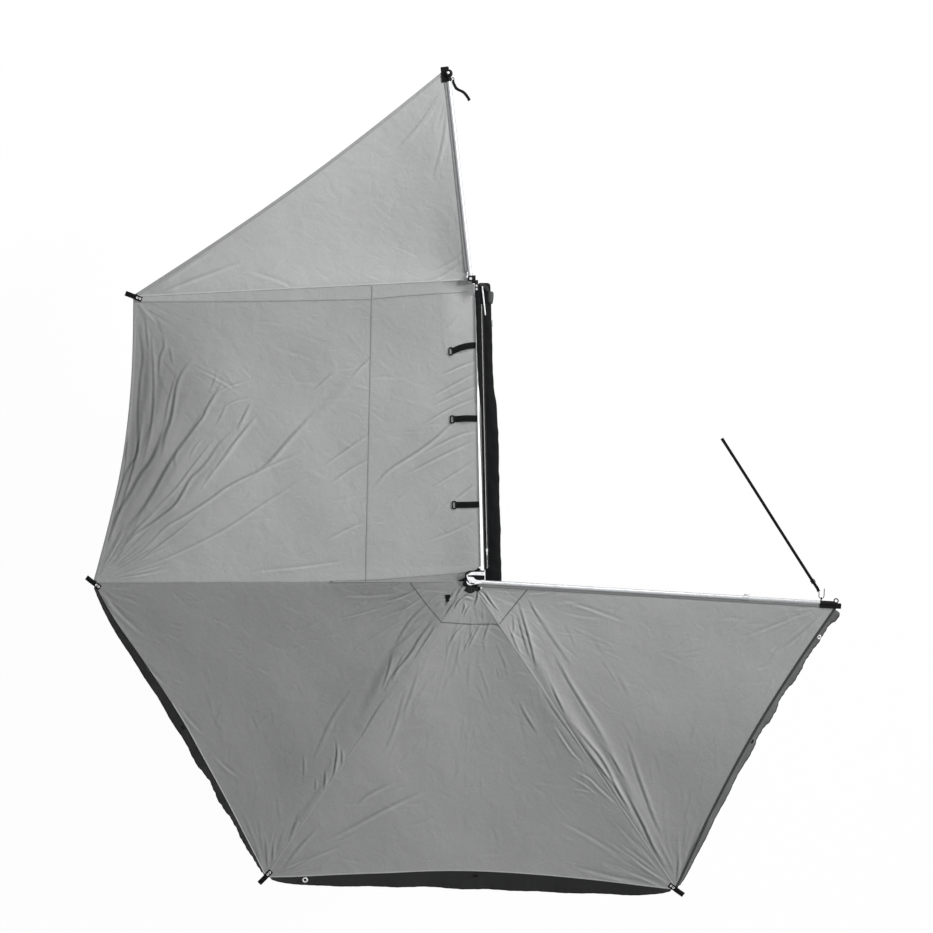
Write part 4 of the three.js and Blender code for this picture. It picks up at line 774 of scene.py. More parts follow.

# %% [markdown]
# ## Wrinkles
# Coated canvas keeps the creases that it was packed with, and new ones run out of the corners that pull it. A
# simulation would give folds of its own, not those of this cloth, so the main ones are drawn.
# Each fold is a line in the photograph's pixels with its half width in pixels and its height in millimetres,
# read off. Fans of finer folds, drawn by rule, run out of the corners and along the seams.

# %% The folds, panel by panel
FOLDS = {
    "side": [
        (5, 9, 166, 372, 152, 430, 132, 476, 108, 528),
        (6, 12, 186, 396, 168, 440, 142, 488, 112, 536),
        (6, 12, 214, 410, 186, 452, 156, 500, 120, 546),
        (6, 11, 244, 424, 210, 472, 170, 516, 124, 560),
        (6.5, 9, 288, 446, 238, 492, 184, 530, 130, 568),
        (5, 7, 146, 330, 150, 370, 144, 420, 132, 462),
        (6, 7, 470, 392, 436, 418, 396, 452),
        (6, 6, 474, 428, 440, 456, 400, 486),
        (5, 6, 360, 372, 330, 404, 296, 440),
        (1.8, 5, 137.4, 318, 141.8, 355, 139.4, 379, 137.4, 409, 136.6, 452, 127.5, 468, 119.6, 488, 111.7, 513,
         104, 540),
        (1.6, 3.5, 144.3, 320, 146, 335, 148.6, 352),
        (1.8, 4, 162, 335, 163, 347, 159, 358, 157.5, 380),
        (1.5, 3, 168.5, 347, 170, 354, 171.5, 364),
        (2.2, 7.5, 190, 360, 180, 374, 175, 387, 172, 405, 169, 420.5, 163.5, 438, 161, 456),
        (2.6, 8, 164, 426, 151, 458, 139.4, 474, 127.5, 495.6, 115.7, 515.3, 104, 542),
        (2.6, 8, 203, 409, 190.8, 430, 175, 452, 163, 472, 151, 493.6, 140, 511, 124, 530),
        (1.9, 6, 221, 383, 206.6, 406.6, 200.7, 418.5, 183, 440),
        (2.1, 7, 232, 430, 216.5, 446, 208.6, 458, 198.7, 470, 188.8, 479.7, 175, 503.4, 161, 515.3, 151, 523,
         129.5, 539, 110, 566),
        (1.8, 5, 249, 404, 243, 416, 236, 430),
        (2, 5.5, 255, 416, 234, 442, 214, 469),
        (2, 5.5, 300, 452, 260, 470, 228, 485.7, 208.6, 499.5, 184.9, 515, 165, 527, 149, 543, 128, 562),
        (1.5, 3, 214, 466, 206, 480, 200, 490),
        (1.5, 3, 176, 448, 174, 458, 175, 468),
        (1.5, 3, 201, 438, 193, 449, 188, 460),
        (1.5, 3, 225, 402, 222, 412, 215, 425),
        (1.5, 3, 216, 372, 213, 382, 208, 392),
        (2.8, 5, 312, 413, 286.5, 441, 266, 464, 246, 480),
        (2, 3.5, 300, 480, 262, 504, 222, 530, 178, 552, 130, 572),
        (1.5, 2.6, 152, 420, 147, 434, 145, 446),
        (1.5, 3.5, 126, 420, 124, 450, 117, 478),
        (1.5, 3, 133, 360, 132, 396, 128, 430),
        (1.6, 3, 198, 368, 216, 377, 240, 392),
        (1.6, 3, 208, 400, 224, 388, 248, 380),
        (1.5, 2.6, 214, 414, 232, 402, 251, 397),
        (1.8, 3, 312, 391, 322, 382, 332, 373),
        (1.8, 3.4, 350, 378, 360, 367, 371, 357),
        (1.9, 3.6, 322, 466, 345, 450, 368, 434),
        (1.9, 3.4, 329, 484, 348, 470, 368, 459),
        (1.9, 2.8, 322, 542, 342, 531, 364, 521),
        (2.2, 5.5, 457, 417, 436, 437, 417.5, 451, 387, 471, 373, 487),
        (1.7, 4.6, 476, 360, 460, 366, 440, 375),
        (1.7, 4.4, 476, 372, 457, 382, 432, 396),
        (1.7, 4.4, 476, 385, 456, 394, 432, 406),
        (1.7, 4, 476, 397, 450, 408, 421, 425),
        (1.8, 4.4, 476, 430, 455, 436, 424, 452),
        (1.9, 4.2, 472, 441, 440, 456, 405, 474),
        (1.8, 3.6, 474, 484, 464, 492, 452, 501),
        (1.7, 3, 474, 460, 456, 472, 430, 488),
        (1.8, 2.8, 474, 520, 452, 531, 426, 541),
        (2, 2.8, 345, 560, 300, 566, 250, 571),
        (1.6, 5, 150, 330, 153, 380, 150, 430, 140, 470),
        (1.5, 4.5, 130, 330, 129, 400, 123, 470, 112, 520),
        (1.6, 5, 141, 395, 140, 430, 132, 470, 119, 510, 106, 548),
        (1.6, 4.5, 176, 372, 168, 400, 163, 424),
        (1.6, 4.5, 212, 440, 192, 466, 172, 492, 146, 516),
        (1.5, 4, 234, 446, 220, 462, 204, 484),
        (1.5, 4, 200, 512, 176, 532, 150, 552, 126, 570),
        (2.2, 3, 128, 440, 119, 480, 106, 520),
        (2, 4, 165, 500, 140, 525, 112, 553),
    ],
    "left": [
        (5, 8, 428, 612, 404, 644, 382, 680, 362, 722),
        (5, 7, 340, 756, 322, 794, 296, 832, 274, 864),
        (5, 6, 422, 594, 396, 618, 366, 640),
        (1.7, 5, 419, 588, 402, 596, 384, 602),
        (1.6, 3.5, 423, 596, 408, 606, 392, 614),
        (1.9, 5, 428, 602, 408, 622, 394, 645),
        (1.9, 7.5, 434, 618, 420, 636, 408, 655, 391, 676, 383, 692),
        (1.7, 4.5, 436, 624, 424, 642, 413, 660),
        (1.9, 5, 391, 652, 388, 668, 381, 690),
        (1.7, 3.5, 404, 652, 396, 668, 390, 684),
        (2, 5, 386, 696, 374, 714, 364.6, 731, 351, 758),
        (1.5, 7, 335.5, 742, 336, 753, 335, 762, 332.6, 778),
        (1.4, 5, 340.5, 749, 341.2, 758, 340.6, 768),
        (1.5, 5, 324.4, 770, 324, 780, 323, 791),
        (1.5, 5, 335, 767, 331.5, 777, 328, 788),
        (1.4, 4, 315, 780, 314.6, 785, 314, 790),
        (1.5, 3.5, 302.7, 756, 303, 767, 302.4, 778),
        (1.6, 5, 349, 785, 358.5, 781, 367, 775, 374, 764),
        (1.5, 4, 327, 796, 336.7, 792, 348, 788),
        (1.9, 5, 320.5, 801, 310, 815, 302, 827),
        (1.6, 4.4, 323.5, 806, 312.4, 822.4, 302.7, 832),
        (1.8, 6, 297, 816, 290.6, 834.5, 288, 843, 284.5, 852.7, 276, 864),
        (2.2, 4, 322, 812, 308, 828, 292, 848, 276, 866),
        (1.5, 4.5, 265, 838, 265.5, 852, 266.6, 869),
        (1.5, 4, 272, 843, 272, 852, 271.4, 866),
        (1.5, 3.5, 255, 850, 258, 861, 263.5, 875),
        (2.4, 3.4, 104, 591, 120, 612, 145, 635),
        (2, 3, 101, 598, 114, 622, 128, 642),
        (1.9, 3.2, 144, 661, 154, 673, 166, 684),
        (1.9, 3, 180, 706, 190, 719, 202, 732),
        (1.9, 2.8, 215, 755, 228, 768, 240, 776),
        (2.4, 3, 350, 690, 330, 720, 312, 760),
        (1.3, 9, 456, 599, 450, 607, 444, 617),
        (1.3, 6, 454, 590, 448, 600, 444, 606),
        (1.3, 6, 463, 585, 458, 592, 455, 598),
    ],
    "rear": [
        (1.5, 5, 463, 625, 455, 633, 446, 647),
        (1.5, 5, 480, 623, 473, 636, 466, 650),
        (1.5, 4.4, 489, 621, 485, 632, 482, 641),
        (1.4, 3.6, 474, 628, 468, 640, 462, 652),
        (2.6, 3.6, 424, 790, 386, 808, 351, 827, 328, 839),
        (2.4, 3.2, 390, 783, 365.8, 795.8, 353, 808),
        (2, 4, 517.5, 703, 526, 718, 536, 734),
        (1.7, 3.6, 281, 868.5, 293, 863.6, 309, 857),
        (2, 3.4, 280, 872, 296, 850, 318, 826),
        (2, 3, 284, 874, 310, 858, 340, 846),
        (1.7, 5, 541, 691, 555, 713, 574.8, 739.5, 590, 758),
        (1.6, 4.6, 556, 726, 571.5, 749.5, 584, 763),
        (1.6, 4.6, 576, 770, 589.8, 777.6, 601.4, 789, 618, 804),
        (1.4, 3.4, 571, 776, 584, 783, 598, 794),
        (1.4, 3, 572, 788, 582, 789, 592, 791),
        (1.7, 5, 634, 836, 646, 851, 664, 876),
        (1.6, 5, 628, 853, 646, 867, 670, 883),
        (1.6, 4.5, 620, 868, 642.8, 877, 668, 888),
        (2.4, 3.5, 575, 866, 606, 874, 642, 884),
        (2.4, 2.6, 560, 820, 590, 836, 625, 858),
        (2.4, 3, 404, 690, 396, 720, 384, 752),
        (2.2, 3, 418, 668, 409, 696, 398, 722),
        (1.3, 9, 466, 595, 458, 601, 453, 609),
        (1.3, 9, 476.5, 590, 476.5, 597, 473.5, 605),
        (1.3, 9, 461, 597, 467, 595.5, 474, 598),
        (1.3, 6, 463, 603, 463.5, 607, 461, 613),
        (1.3, 5, 470, 606, 466, 610, 463, 616),
    ],
    "right": [
        (5.5, 12, 540, 670, 578, 732, 616, 794, 660, 862),
        (5, 8, 572, 688, 608, 748, 642, 814, 668, 862),
        (5, 7, 522, 612, 534, 652, 552, 690),
        (2, 9, 574, 727, 589.8, 746, 598, 756, 606.3, 769.4, 618, 792.6, 629, 812),
        (1.7, 7, 586, 751, 603, 772.7, 613, 786, 628, 810),
        (1.9, 7.5, 624, 790, 634.5, 811, 643, 827.4, 652.8, 849, 668, 876),
        (2.2, 5.5, 627, 744, 636, 772.7, 643, 792.6, 652.8, 819, 661, 836),
        (2.2, 5.5, 553, 655, 566.5, 680, 581.5, 704.7, 594.7, 726, 605, 744),
        (1.7, 5.5, 550, 684, 556, 698, 564, 714),
        (1.7, 4.5, 608, 752, 616, 766, 624, 780),
        (1.5, 4.5, 677.6, 856, 677, 868, 675.6, 882),
        (1.6, 6.5, 518, 604, 525, 628, 530, 646, 535, 668),
        (1.4, 4.5, 517, 616, 522, 636, 528, 656),
        (1.4, 4, 512, 616, 513, 628, 510, 640),
        (1.4, 3.6, 506, 622, 513, 640, 521, 660),
        (1.6, 4, 528, 600, 534, 612, 540, 622),
        (2.4, 3, 534, 612, 552, 640, 572, 668),
        (2, 3, 676, 878, 690, 850, 702, 818),
        (1.9, 2.8, 680, 872, 697, 838, 716, 802),
        (2, 2.8, 822, 612, 800, 634, 776, 652),
        (2, 2.6, 812, 610, 780, 622, 744, 636),
        (2, 2.4, 560, 598, 590, 608, 628, 622),
        (1.3, 6, 480, 590, 486, 597, 491, 604),
        (1.3, 5, 484, 592, 490, 602, 498, 612),
    ],
    "front": [
        (2.6, 2.6, 150, 296, 190, 280, 240, 262),
        (2.2, 2.2, 148, 292, 180, 270, 215, 248),
        (2.4, 2.4, 440, 92, 420, 122, 396, 150),
        (2.2, 2.4, 446, 100, 442, 140, 432, 180),
        (2.2, 2.2, 462, 262, 440, 276, 410, 288),
        (2.2, 2, 466, 250, 450, 262, 434, 270),
        (2.6, 1.8, 300, 292, 280, 280, 250, 270),
    ],
}
print("folds drawn by eye:", {name: len(folds) for name, folds in FOLDS.items()})

# %% Fans of finer folds
# Centre, first and last direction in degrees on the photograph, count, nearest and farthest reach, half width
# and height.
FANS = {
    "side": [(93, 583, -78, -4, 24, 8, 84, 1.5, 4.2), (137, 301, 12, 82, 14, 6, 46, 1.6, 2)],
    "left": [(95, 586, 2, 60, 12, 8, 50, 1.7, 1.9), (267, 876, -118, -62, 16, 8, 62, 1.7, 2.2),
             (470, 582, 118, 176, 9, 56, 128, 1.6, 2.4)],
    "rear": [(270, 876, -58, -2, 14, 8, 60, 1.7, 2), (675, 886, 182, 236, 22, 10, 92, 1.7, 2.8),
             (470, 582, 64, 114, 5, 48, 96, 1.5, 1.6)],
    "right": [(677, 884, -122, -66, 16, 8, 64, 1.7, 2), (470, 582, 12, 58, 6, 58, 128, 1.6, 1.8),
              (826, 606, 120, 176, 12, 10, 60, 1.7, 1.8)],
    "front": [(140, 298, -36, -4, 9, 8, 60, 1.8, 1.3), (448, 86, 100, 140, 9, 8, 60, 1.8, 1.2)],
}


def fan_folds(spec):
    x, y, low, high, count, near, far, width, height = spec
    made = []
    for i in range(count):
        angle = math.radians(low + (high - low) * (i + rng.uniform(0.1, 0.9)) / count)
        start = near * rng.uniform(0.8, 1.8)
        end = start + (far - near) * rng.uniform(0.35, 1.0)
        bend = rng.uniform(-0.05, 0.05)
        line = [x + start * math.cos(angle), y + start * math.sin(angle)]
        middle, last = (start + end) / 2, angle + bend
        line += [x + middle * math.cos(angle + bend / 3), y + middle * math.sin(angle + bend / 3)]
        line += [x + end * math.cos(last), y + end * math.sin(last)]
        made.append((width * rng.uniform(0.9, 1.3), height * rng.uniform(0.4, 1.0), *line))
    return made


def scattered(name, count):
    """Small creases all over a panel, turned towards its nearest corner."""
    panel, made = PANELS[name], []
    corners = to_photo(np.stack([panel.outer(np.array([0.0]))[0], panel.outer(np.array([1.0]))[0],
                                 panel.inner(np.array([0.5]))[0]]))
    for _ in range(count):
        across, along = rng.uniform(0.03, 0.97), rng.uniform(0.06, 0.97)
        middle = to_photo(panel.base(across, along))
        away = corners - middle
        near = int(np.argmin(np.hypot(*away.T)))
        reach = float(np.hypot(*away[near]))
        angle = math.atan2(away[near][1], away[near][0]) + rng.normal(0, 0.35)
        half = rng.uniform(5, 16)
        strength = (1.0 if name != "front" else 0.5) * rng.uniform(0.5, 1.9) * math.exp(-reach / 260)
        bend = rng.uniform(-0.25, 0.25)
        d = np.array([math.cos(angle), math.sin(angle)])
        n = np.array([-d[1], d[0]])
        line = [middle - d * half, middle + n * bend * half * 0.4, middle + d * half]
        made.append((rng.uniform(1.2, 2.4), strength, *np.concatenate(line)))
    return made


print("fans:", sum(len(fans) for fans in FANS.values()))


# %% How high the folds lift the cloth
def relief(pixels, folds):
    """Height in millimetres, and how strongly shade is painted into each crease and a highlight onto each ridge, at
    places of the photograph.
    """
    height = np.zeros(len(pixels))
    crease_shade = np.zeros(len(pixels))
    ridge_highlight = np.zeros(len(pixels))
    for width, tall, *line in folds:
        points = smooth_line(np.array(line, float).reshape(-1, 2), 5)
        low, high = points.min(0) - 4 * width, points.max(0) + 4 * width
        near = np.where(((pixels >= low) & (pixels <= high)).all(1))[0]
        if not len(near):
            continue
        q = pixels[near]
        run = np.concatenate([[0], np.cumsum(np.linalg.norm(np.diff(points, axis=0), axis=1))])
        best = np.full(len(q), 1e9)
        side = np.zeros(len(q))
        share = np.zeros(len(q))
        for i in range(len(points) - 1):
            a, d = points[i], points[i + 1] - points[i]
            t = np.clip((q - a) @ d / (d @ d), 0, 1)
            off = q - a - t[:, None] * d
            distance = np.hypot(off[:, 0], off[:, 1])
            closer = distance < best
            best = np.where(closer, distance, best)
            side = np.where(closer, np.sign(off[:, 0] * -d[1] + off[:, 1] * d[0]), side)
            share = np.where(closer, (run[i] + t * (run[i + 1] - run[i])) / run[-1], share)
        taper = np.sin(math.pi * np.clip(share, 0.02, 0.98)) ** 0.7
        # The valley lies on the fold's lower right, away from the light.
        heading = points[-1] - points[0]
        if heading[1] * 0.6 - heading[0] * 0.8 < 0:
            side = -side
        offset = side * best / width
        rise = np.exp(-((offset + 1.2) ** 2)) - 0.8 * np.exp(-((offset / 0.8) ** 2))
        if width >= 3.5:
            rise = np.exp(-(offset**2)) - 0.5 * np.exp(-((offset - 1.6) ** 2))
        height[near] += tall * taper * rise
        # These strengths only colour the cloth: painted shade along the crease and a painted highlight on the ridge
        # beside it.
        strength = taper * (min(1.0, tall / 6) if width < 3.5 else 0.0)
        crease_shade[near] = np.maximum(crease_shade[near], strength * np.exp(-((offset / 0.55) ** 2)))
        ridge_highlight[near] = np.maximum(ridge_highlight[near], strength * np.exp(-(((offset + 1.1) / 0.7) ** 2)))
    return height, crease_shade, ridge_highlight


SWELLS = [
    (rng.uniform(0, 2 * math.pi), 2 * math.pi / rng.uniform(420, 1300), rng.uniform(0, 2 * math.pi))
    for _ in range(9)
]


def swell(place):
    """Broad, slow undulations of slack cloth."""
    total = np.zeros(place.shape[:-1])
    for angle, pace, phase in SWELLS:
        total += np.sin((place[..., 0] * math.cos(angle) + place[..., 1] * math.sin(angle)) * pace + phase) / pace / 130
    return total


for name, panel in PANELS.items():
    panel.folds = FOLDS[name] + [fold for spec in FANS[name] for fold in fan_folds(spec)]
    panel.folds += scattered(name, 60 if name == "front" else 130)
    print(f"{name} panel: {len(panel.folds)} folds")


# %% The finished cloth surface, and how it follows the arms
def cloth(panel, across, along, lift=1.2):
    """Places on a panel's cloth, with its wrinkles, and the strengths of the painted shade in its creases and the
    painted highlight on its ridges there.
    """
    place = panel.base(across, along)
    shape = place.shape[:-1]
    height, crease_shade, ridge_highlight = (x.reshape(shape) for x in relief(to_photo(place).reshape(-1, 2), panel.folds))
    across, along = np.broadcast_to(across, shape), np.broadcast_to(along, shape)
    calm = np.clip(np.minimum(across, 1 - across) / 0.02, 0, 1)
    slack = np.clip(np.minimum(across, 1 - across) / 0.14, 0, 1) * np.clip(np.minimum(along, 1 - along) / 0.14, 0, 1)
    place[..., 2] += lift + height * calm + swell(place) * slack * (0.6 if panel is PANELS["front"] else 1)
    return place, crease_shade * calm, ridge_highlight * calm


def fanned(share):
    return share - 0.03 * np.sin(math.pi * share)


def follow(obj, panel, weights):
    """The cloth between two arms turns with them, by its share of the angle between them."""
    first, last = panel.first, panel.last
    if first == "arm1":
        first, last, weights = last, first, 1 - weights
    a, b = beside(first, 900, 0, 0), beside(last, 900, 0, 0)
    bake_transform(obj, first, last, (a + OFFSET) * MM, (b + OFFSET) * MM)
    paint(obj, "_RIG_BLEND", fanned(np.clip(weights, 0, 1)))
    return obj


def hang_on_rail(obj):
    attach(obj, "frame")
    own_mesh(obj)
    return obj


# %% [markdown]
# ## The five panels
# These are the awning's roof: five cuts of grey coated canvas. Each is a fine grid laid on its surface. A
# displacement modifier could raise the folds, but seams and straps couldn't ask it for their height,
# so the points themselves are moved. Three attributes paint light into the material: shade in the creases, a
# highlight on the ridges, and a tone that is painted shade where the cloth slopes away from the light. A sector
# turns with its two arms by a share, and the side panel rides with the rail.

# %% Sizes, UVs and area of a panel
FINE = 312


def panel_uv(panel, places):
    """UVs in metres along the way the cloth was cut."""
    if isinstance(panel, SidePanel):
        return places[:, :2] * MM
    x, y = panel.middle[0], panel.middle[1]
    return np.stack([places[:, 0] * -y + places[:, 1] * x, places[:, 0] * x + places[:, 1] * y], 1) * MM


def area_of(places, rows, columns):
    p = places.reshape(rows, columns, 3)
    a, b = p[1:, 1:] - p[:-1, :-1], p[1:, :-1] - p[:-1, 1:]
    return float(np.linalg.norm(np.cross(a, b), axis=-1).sum() / 2 * 1e-6)


print("points along a panel's side:", FINE)

# %% The tone of the cloth, painted shade
HUB_SEAM_PIXELS = np.array([[80, 590], [322, 581.6], [350, 580.6], [380, 579.4], [410, 577.0], [440, 574.6],
                            [470, 571.8]])
SEAM_PIXELS = np.array([[130, 302], [144, 301.5], [266, 301], [367, 299], [405, 295.5], [440, 293], [480, 290.5]])


def shaded_tone(name, places, across, along):
    """The cloth's tone is painted shade: the front triangle is painted palest, and the outer sectors and the side
    panel's outer part darker, where the real canopy slopes away from the light.
    """
    pixels = to_photo(places)
    if name == "front":
        corner = np.exp(-np.hypot(pixels[..., 0] - 150, pixels[..., 1] - 300) / 60)
        return 0.5 - 0.055 * smoothstep((pixels[..., 0] - 300) / 120) - 0.08 * corner
    if name == "side":
        edge = np.clip((1 - along) / 0.33, 0, 1)
        middle = np.sin(math.pi * np.clip(across, 0.02, 0.98)) ** 0.6
        tone = 0.45 + 0.035 * smoothstep((pixels[..., 1] - 320) / 230) - 0.235 * (1 - smoothstep(edge)) * middle
        over = np.interp(pixels[..., 0], SEAM_PIXELS[:, 0], SEAM_PIXELS[:, 1]) - pixels[..., 1]
        tone = tone + (0.49 - tone) * np.clip(over / 1.2 + 0.5, 0, 1)
        below = pixels[..., 1] - np.interp(pixels[..., 0], HUB_SEAM_PIXELS[:, 0], HUB_SEAM_PIXELS[:, 1])
        return tone + (0.365 - tone) * np.clip(below / 1.2 + 0.5, 0, 1) * (pixels[..., 0] > 300)
    flat = places - np.array([*HUB, 0.0])
    azimuth = np.degrees(np.arctan2(flat[..., 1], flat[..., 0])) % 360
    tone = np.interp(azimuth, [175, 190, 225, 240, 262, 290, 315, 330, 340, 356],
                     [0.335, 0.325, 0.33, 0.375, 0.4, 0.395, 0.375, 0.445, 0.475, 0.48])
    return tone - 0.035 * smoothstep(along) + 0.025 * (1 - smoothstep(along / 0.3))


print("seam points read off:", len(HUB_SEAM_PIXELS) + len(SEAM_PIXELS))

# %% Make the panels
for name, panel in PANELS.items():
    start = {"front": -0.012, "left": -0.018, "rear": -0.006, "right": -0.002}.get(name, 0.0)
    A, L = np.meshgrid(np.linspace(0, 1, FINE), np.linspace(start, 1, FINE))
    L = L - panel.reach(A) * (1 - L)
    places, crease_shade, ridge_highlight = cloth(panel, A, L)
    flat = places.reshape(-1, 3)
    obj = build(f"panel_{name}", flat, grid_faces(FINE, FINE)[:, ::-1], panel_uv(panel, flat))
    # The three attributes below paint light into the canvas: shade in the creases, a highlight on the ridges, and shade
    # where the cloth slopes away from the light.
    paint(obj, "CreaseShade", crease_shade.ravel())
    paint(obj, "RidgeHighlight", ridge_highlight.ravel())
    paint(obj, "ShadedTone", shaded_tone(name, places, A, L).ravel())
    dress(obj, "canvas", "grey_canvas")
    if name == "side":
        hang_on_rail(obj)
    else:
        follow(obj, panel, A.ravel())
    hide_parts(f"canopy_{name}")
    uv = panel_uv(panel, flat)
    size = uv.max(0) - uv.min(0) + 0.02
    area = area_of(flat, FINE, FINE)
    print(f"{name} panel: {area:.2f} m2, {size[0]:.2f} x {size[1]:.2f} m")

# %% [markdown]
# ## Seams, hems and the hub's patch
# The widths of cloth are felled together, and each edge is turned over and sewn down. A line in the material
# would do from far away, but a real seam is raised and catches the light. So each is a flat section that is
# swept along a path over the cloth, a little above it, and it moves as the cloth below it does.


# %% Strips over the cloth and along an arm
def strip(name, panel, path, width, material, slot, lift=1.6, thick=1.4, bend=True):
    """A sewn strip that follows a path of (across, along) over a panel's cloth."""
    path = np.asarray(path, float)
    places, _, _ = cloth(panel, path[:, 0], path[:, 1], lift)
    for _ in range(2):
        places[1:-1, 2] = np.maximum(places[1:-1, 2], (places[:-2, 2] + places[2:, 2]) / 2)
    at, faces, uv = sweep(places, tape(width, thick))
    obj = build(name, at, faces, uv)
    dress(obj, material, slot)
    if bend:
        follow(obj, panel, np.repeat(path[:, 0], len(tape(width, thick))))
    else:
        hang_on_rail(obj)
    return obj


def line_of(a, b, count=160):
    return np.stack([np.linspace(a[0], b[0], count), np.linspace(a[1], b[1], count)], 1)


def arm_strip(name, arm, out, left, heights, width, material, slot, thick=1.6):
    """A seam or hem that runs along an arm, over the cloth's edge."""
    run = np.linspace(out[0], out[1], 200)
    share = run / ARMS[arm][3]
    places = beside(arm, run, left, heights[0] + (heights[1] - heights[0]) * share)
    places[:, 2] += 0.5 * np.sin(run / 61) + 0.35 * np.sin(run / 23 + 1)
    at, faces, uv = sweep(places, tape(width, thick))
    obj = build(name, at, faces, uv)
    return dress(obj, material, slot, arm)


SEAM_TOP, HEM_TOP = 2.5, 2.6
print("a seam's middle lies", SEAM_TOP, "mm above its arm's line")

# %% Seams and hems along the arms
for arm, notch, edge in (("arm2", 60, FRONT_EDGE), ("arm3", 1140, HUB_EDGE), ("arm4", 110, HUB_EDGE),
                         ("arm5", 122, HUB_EDGE)):
    wide = 11 if arm in ("arm2", "arm3") else 15
    arm_strip(f"{arm}_seam", arm, (notch, ARMS[arm][3] - 2), 0, (edge + SEAM_TOP, tip(arm) + SEAM_TOP), wide,
              {"arm2": "pale_seam", "arm3": "seam"}.get(arm, f"{arm}_seam"), "grey_canvas",
              1.6 if arm == "arm3" else 0.9)
inner_rise = (tip("arm3") - HUB_EDGE) * 0.36
arm_strip("arm3_inner_seam", "arm3", (96, 1139), 0, (HUB_EDGE + SEAM_TOP, HUB_EDGE + SEAM_TOP + inner_rise), 9,
          "arm4_seam", "grey_canvas", 0.9)
arm_strip("arm1_edge_hem", "arm1", (62, 1722), 29, (ARM1_LEVEL + HEM_TOP,) * 2, 24, "tube_hem",
          "grey_canvas", 2)
arm_strip("arm6_edge_hem", "arm6", (62, 3040), -28, (ARM6_LEVEL + HEM_TOP,) * 2, 25, "tube_hem",
          "grey_canvas", 2)
print("seams and hems along arms: 7")

# %% Hems along the outer edges, and the hub's patch

strip("front_outer_hem", PANELS["front"], line_of((0.004, 0.996), (0.996, 0.996)), 26, "hem", "grey_canvas")
strip("side_outer_hem", PANELS["side"], line_of((0.004, 0.996), (0.996, 0.996)), 26, "hem", "grey_canvas", bend=False)
for name, wide, finish, inset in (("left", 9, "edge_hem", 0.998), ("rear", 9, "light_hem", 0.9975),
                                  ("right", 20, "lining_hem", 0.9962)):
    strip(f"{name}_outer_hem", PANELS[name], line_of((0.004, inset), (0.996, inset)), wide, finish,
          "grey_canvas" if name == "rear" else "black_fabric", 2.2)
strip("left_binding", PANELS["left"], line_of((0.42, 0.9945), (0.992, 0.9955)), 10, "light_hem", "grey_canvas", 3.0)
patch = {"left": ((0.0, 0.127), (1.0, 0.104)), "rear": ((0.0, 0.104), (1.0, 0.107)),
         "right": ((0.0, 0.107), (1.0, 0.128))}
for name, (a, b) in patch.items():
    strip(f"{name}_patch_seam", PANELS[name], line_of(a, b, 60), 9, "dark_seam", "grey_canvas", 2.0)
print("outer hems: 5, seams of the hub's patch:", len(patch))

# %% The seams on the side panel, found from where they show
side_grid = np.linspace(0.001, 0.999, 400)
seam_places = []
for share in np.linspace(0.002, 0.998, 120):
    pixels = to_photo(PANELS["side"].base(np.full(400, share), side_grid))
    wanted = np.interp(pixels[:, 1], [299, 416, 580], [372, 369.6, 366])
    seam_places.append((share, float(np.interp(0, wanted - pixels[:, 0], side_grid))))
lap_places = []
for along in np.linspace(0.004, 0.996, 150):
    pixels = to_photo(PANELS["side"].base(side_grid, np.full(400, along)))
    wanted = np.interp(pixels[:, 0], SEAM_PIXELS[:, 0], SEAM_PIXELS[:, 1])
    lap_places.append((float(np.interp(0, wanted - pixels[:, 1], side_grid)), float(along)))
hub_lap = []
for along in np.linspace(0.004, 0.42, 90):
    pixels = to_photo(PANELS["side"].base(side_grid, np.full(400, along)))
    wanted = np.interp(pixels[:, 0], HUB_SEAM_PIXELS[:, 0], HUB_SEAM_PIXELS[:, 1])
    if pixels[0, 0] > 330:
        hub_lap.append((max(0.0015, float(np.interp(0, wanted - pixels[:, 1], side_grid))), float(along)))
strip("hub_lap_seam", PANELS["side"], hub_lap, 11, "seam", "grey_canvas", 2.0, 1.2, bend=False)
strip("front_lap_seam", PANELS["side"], lap_places, 11, "seam", "grey_canvas", 2.0, 1.2, bend=False)
strip("side_width_seam", PANELS["side"], seam_places, 15, "seam", "grey_canvas", 2.0, 1.2, bend=False)
print("points on the side panel's seams:", len(seam_places), len(lap_places), len(hub_lap))

# %% [markdown]
# ## Valances, with their folds, linings, eyelets and toggles
# A valance hangs from a panel's outer edge. It is cut longer than the edge, so it falls in waves. A simulation
# could drop it, but its folds would miss those of the CAD's own piece. So sines of two short lengths lie over
# the seven main folds, and a second layer 1.3 mm behind the first closes the cloth into a solid. Eyelets are
# turned rings, and each toggle is a turned peg with a loop.

# %% The shape of a valance
DROP, MAIN_FOLDS = 120, 7
OUTSETS = {
    "left": ([0, 0.126, 0.26, 0.4, 0.485, 0.6, 0.74, 0.88, 0.945, 1], [16, 56, 83, 95, 101, 88, 65, 41, 26, 8]),
    "rear": ([0, 0.04, 0.1, 0.2, 0.3, 0.5, 0.7, 0.9, 0.96, 1], [10, 58, 90, 122, 142, 186, 166, 104, 62, 8]),
    "right": ([0, 0.05, 0.15, 0.3, 0.5, 0.8, 0.9, 0.935, 0.974, 0.99, 1], [8, 34, 54, 70, 78, 62, 46, 38, 80, 56, 8]),
}


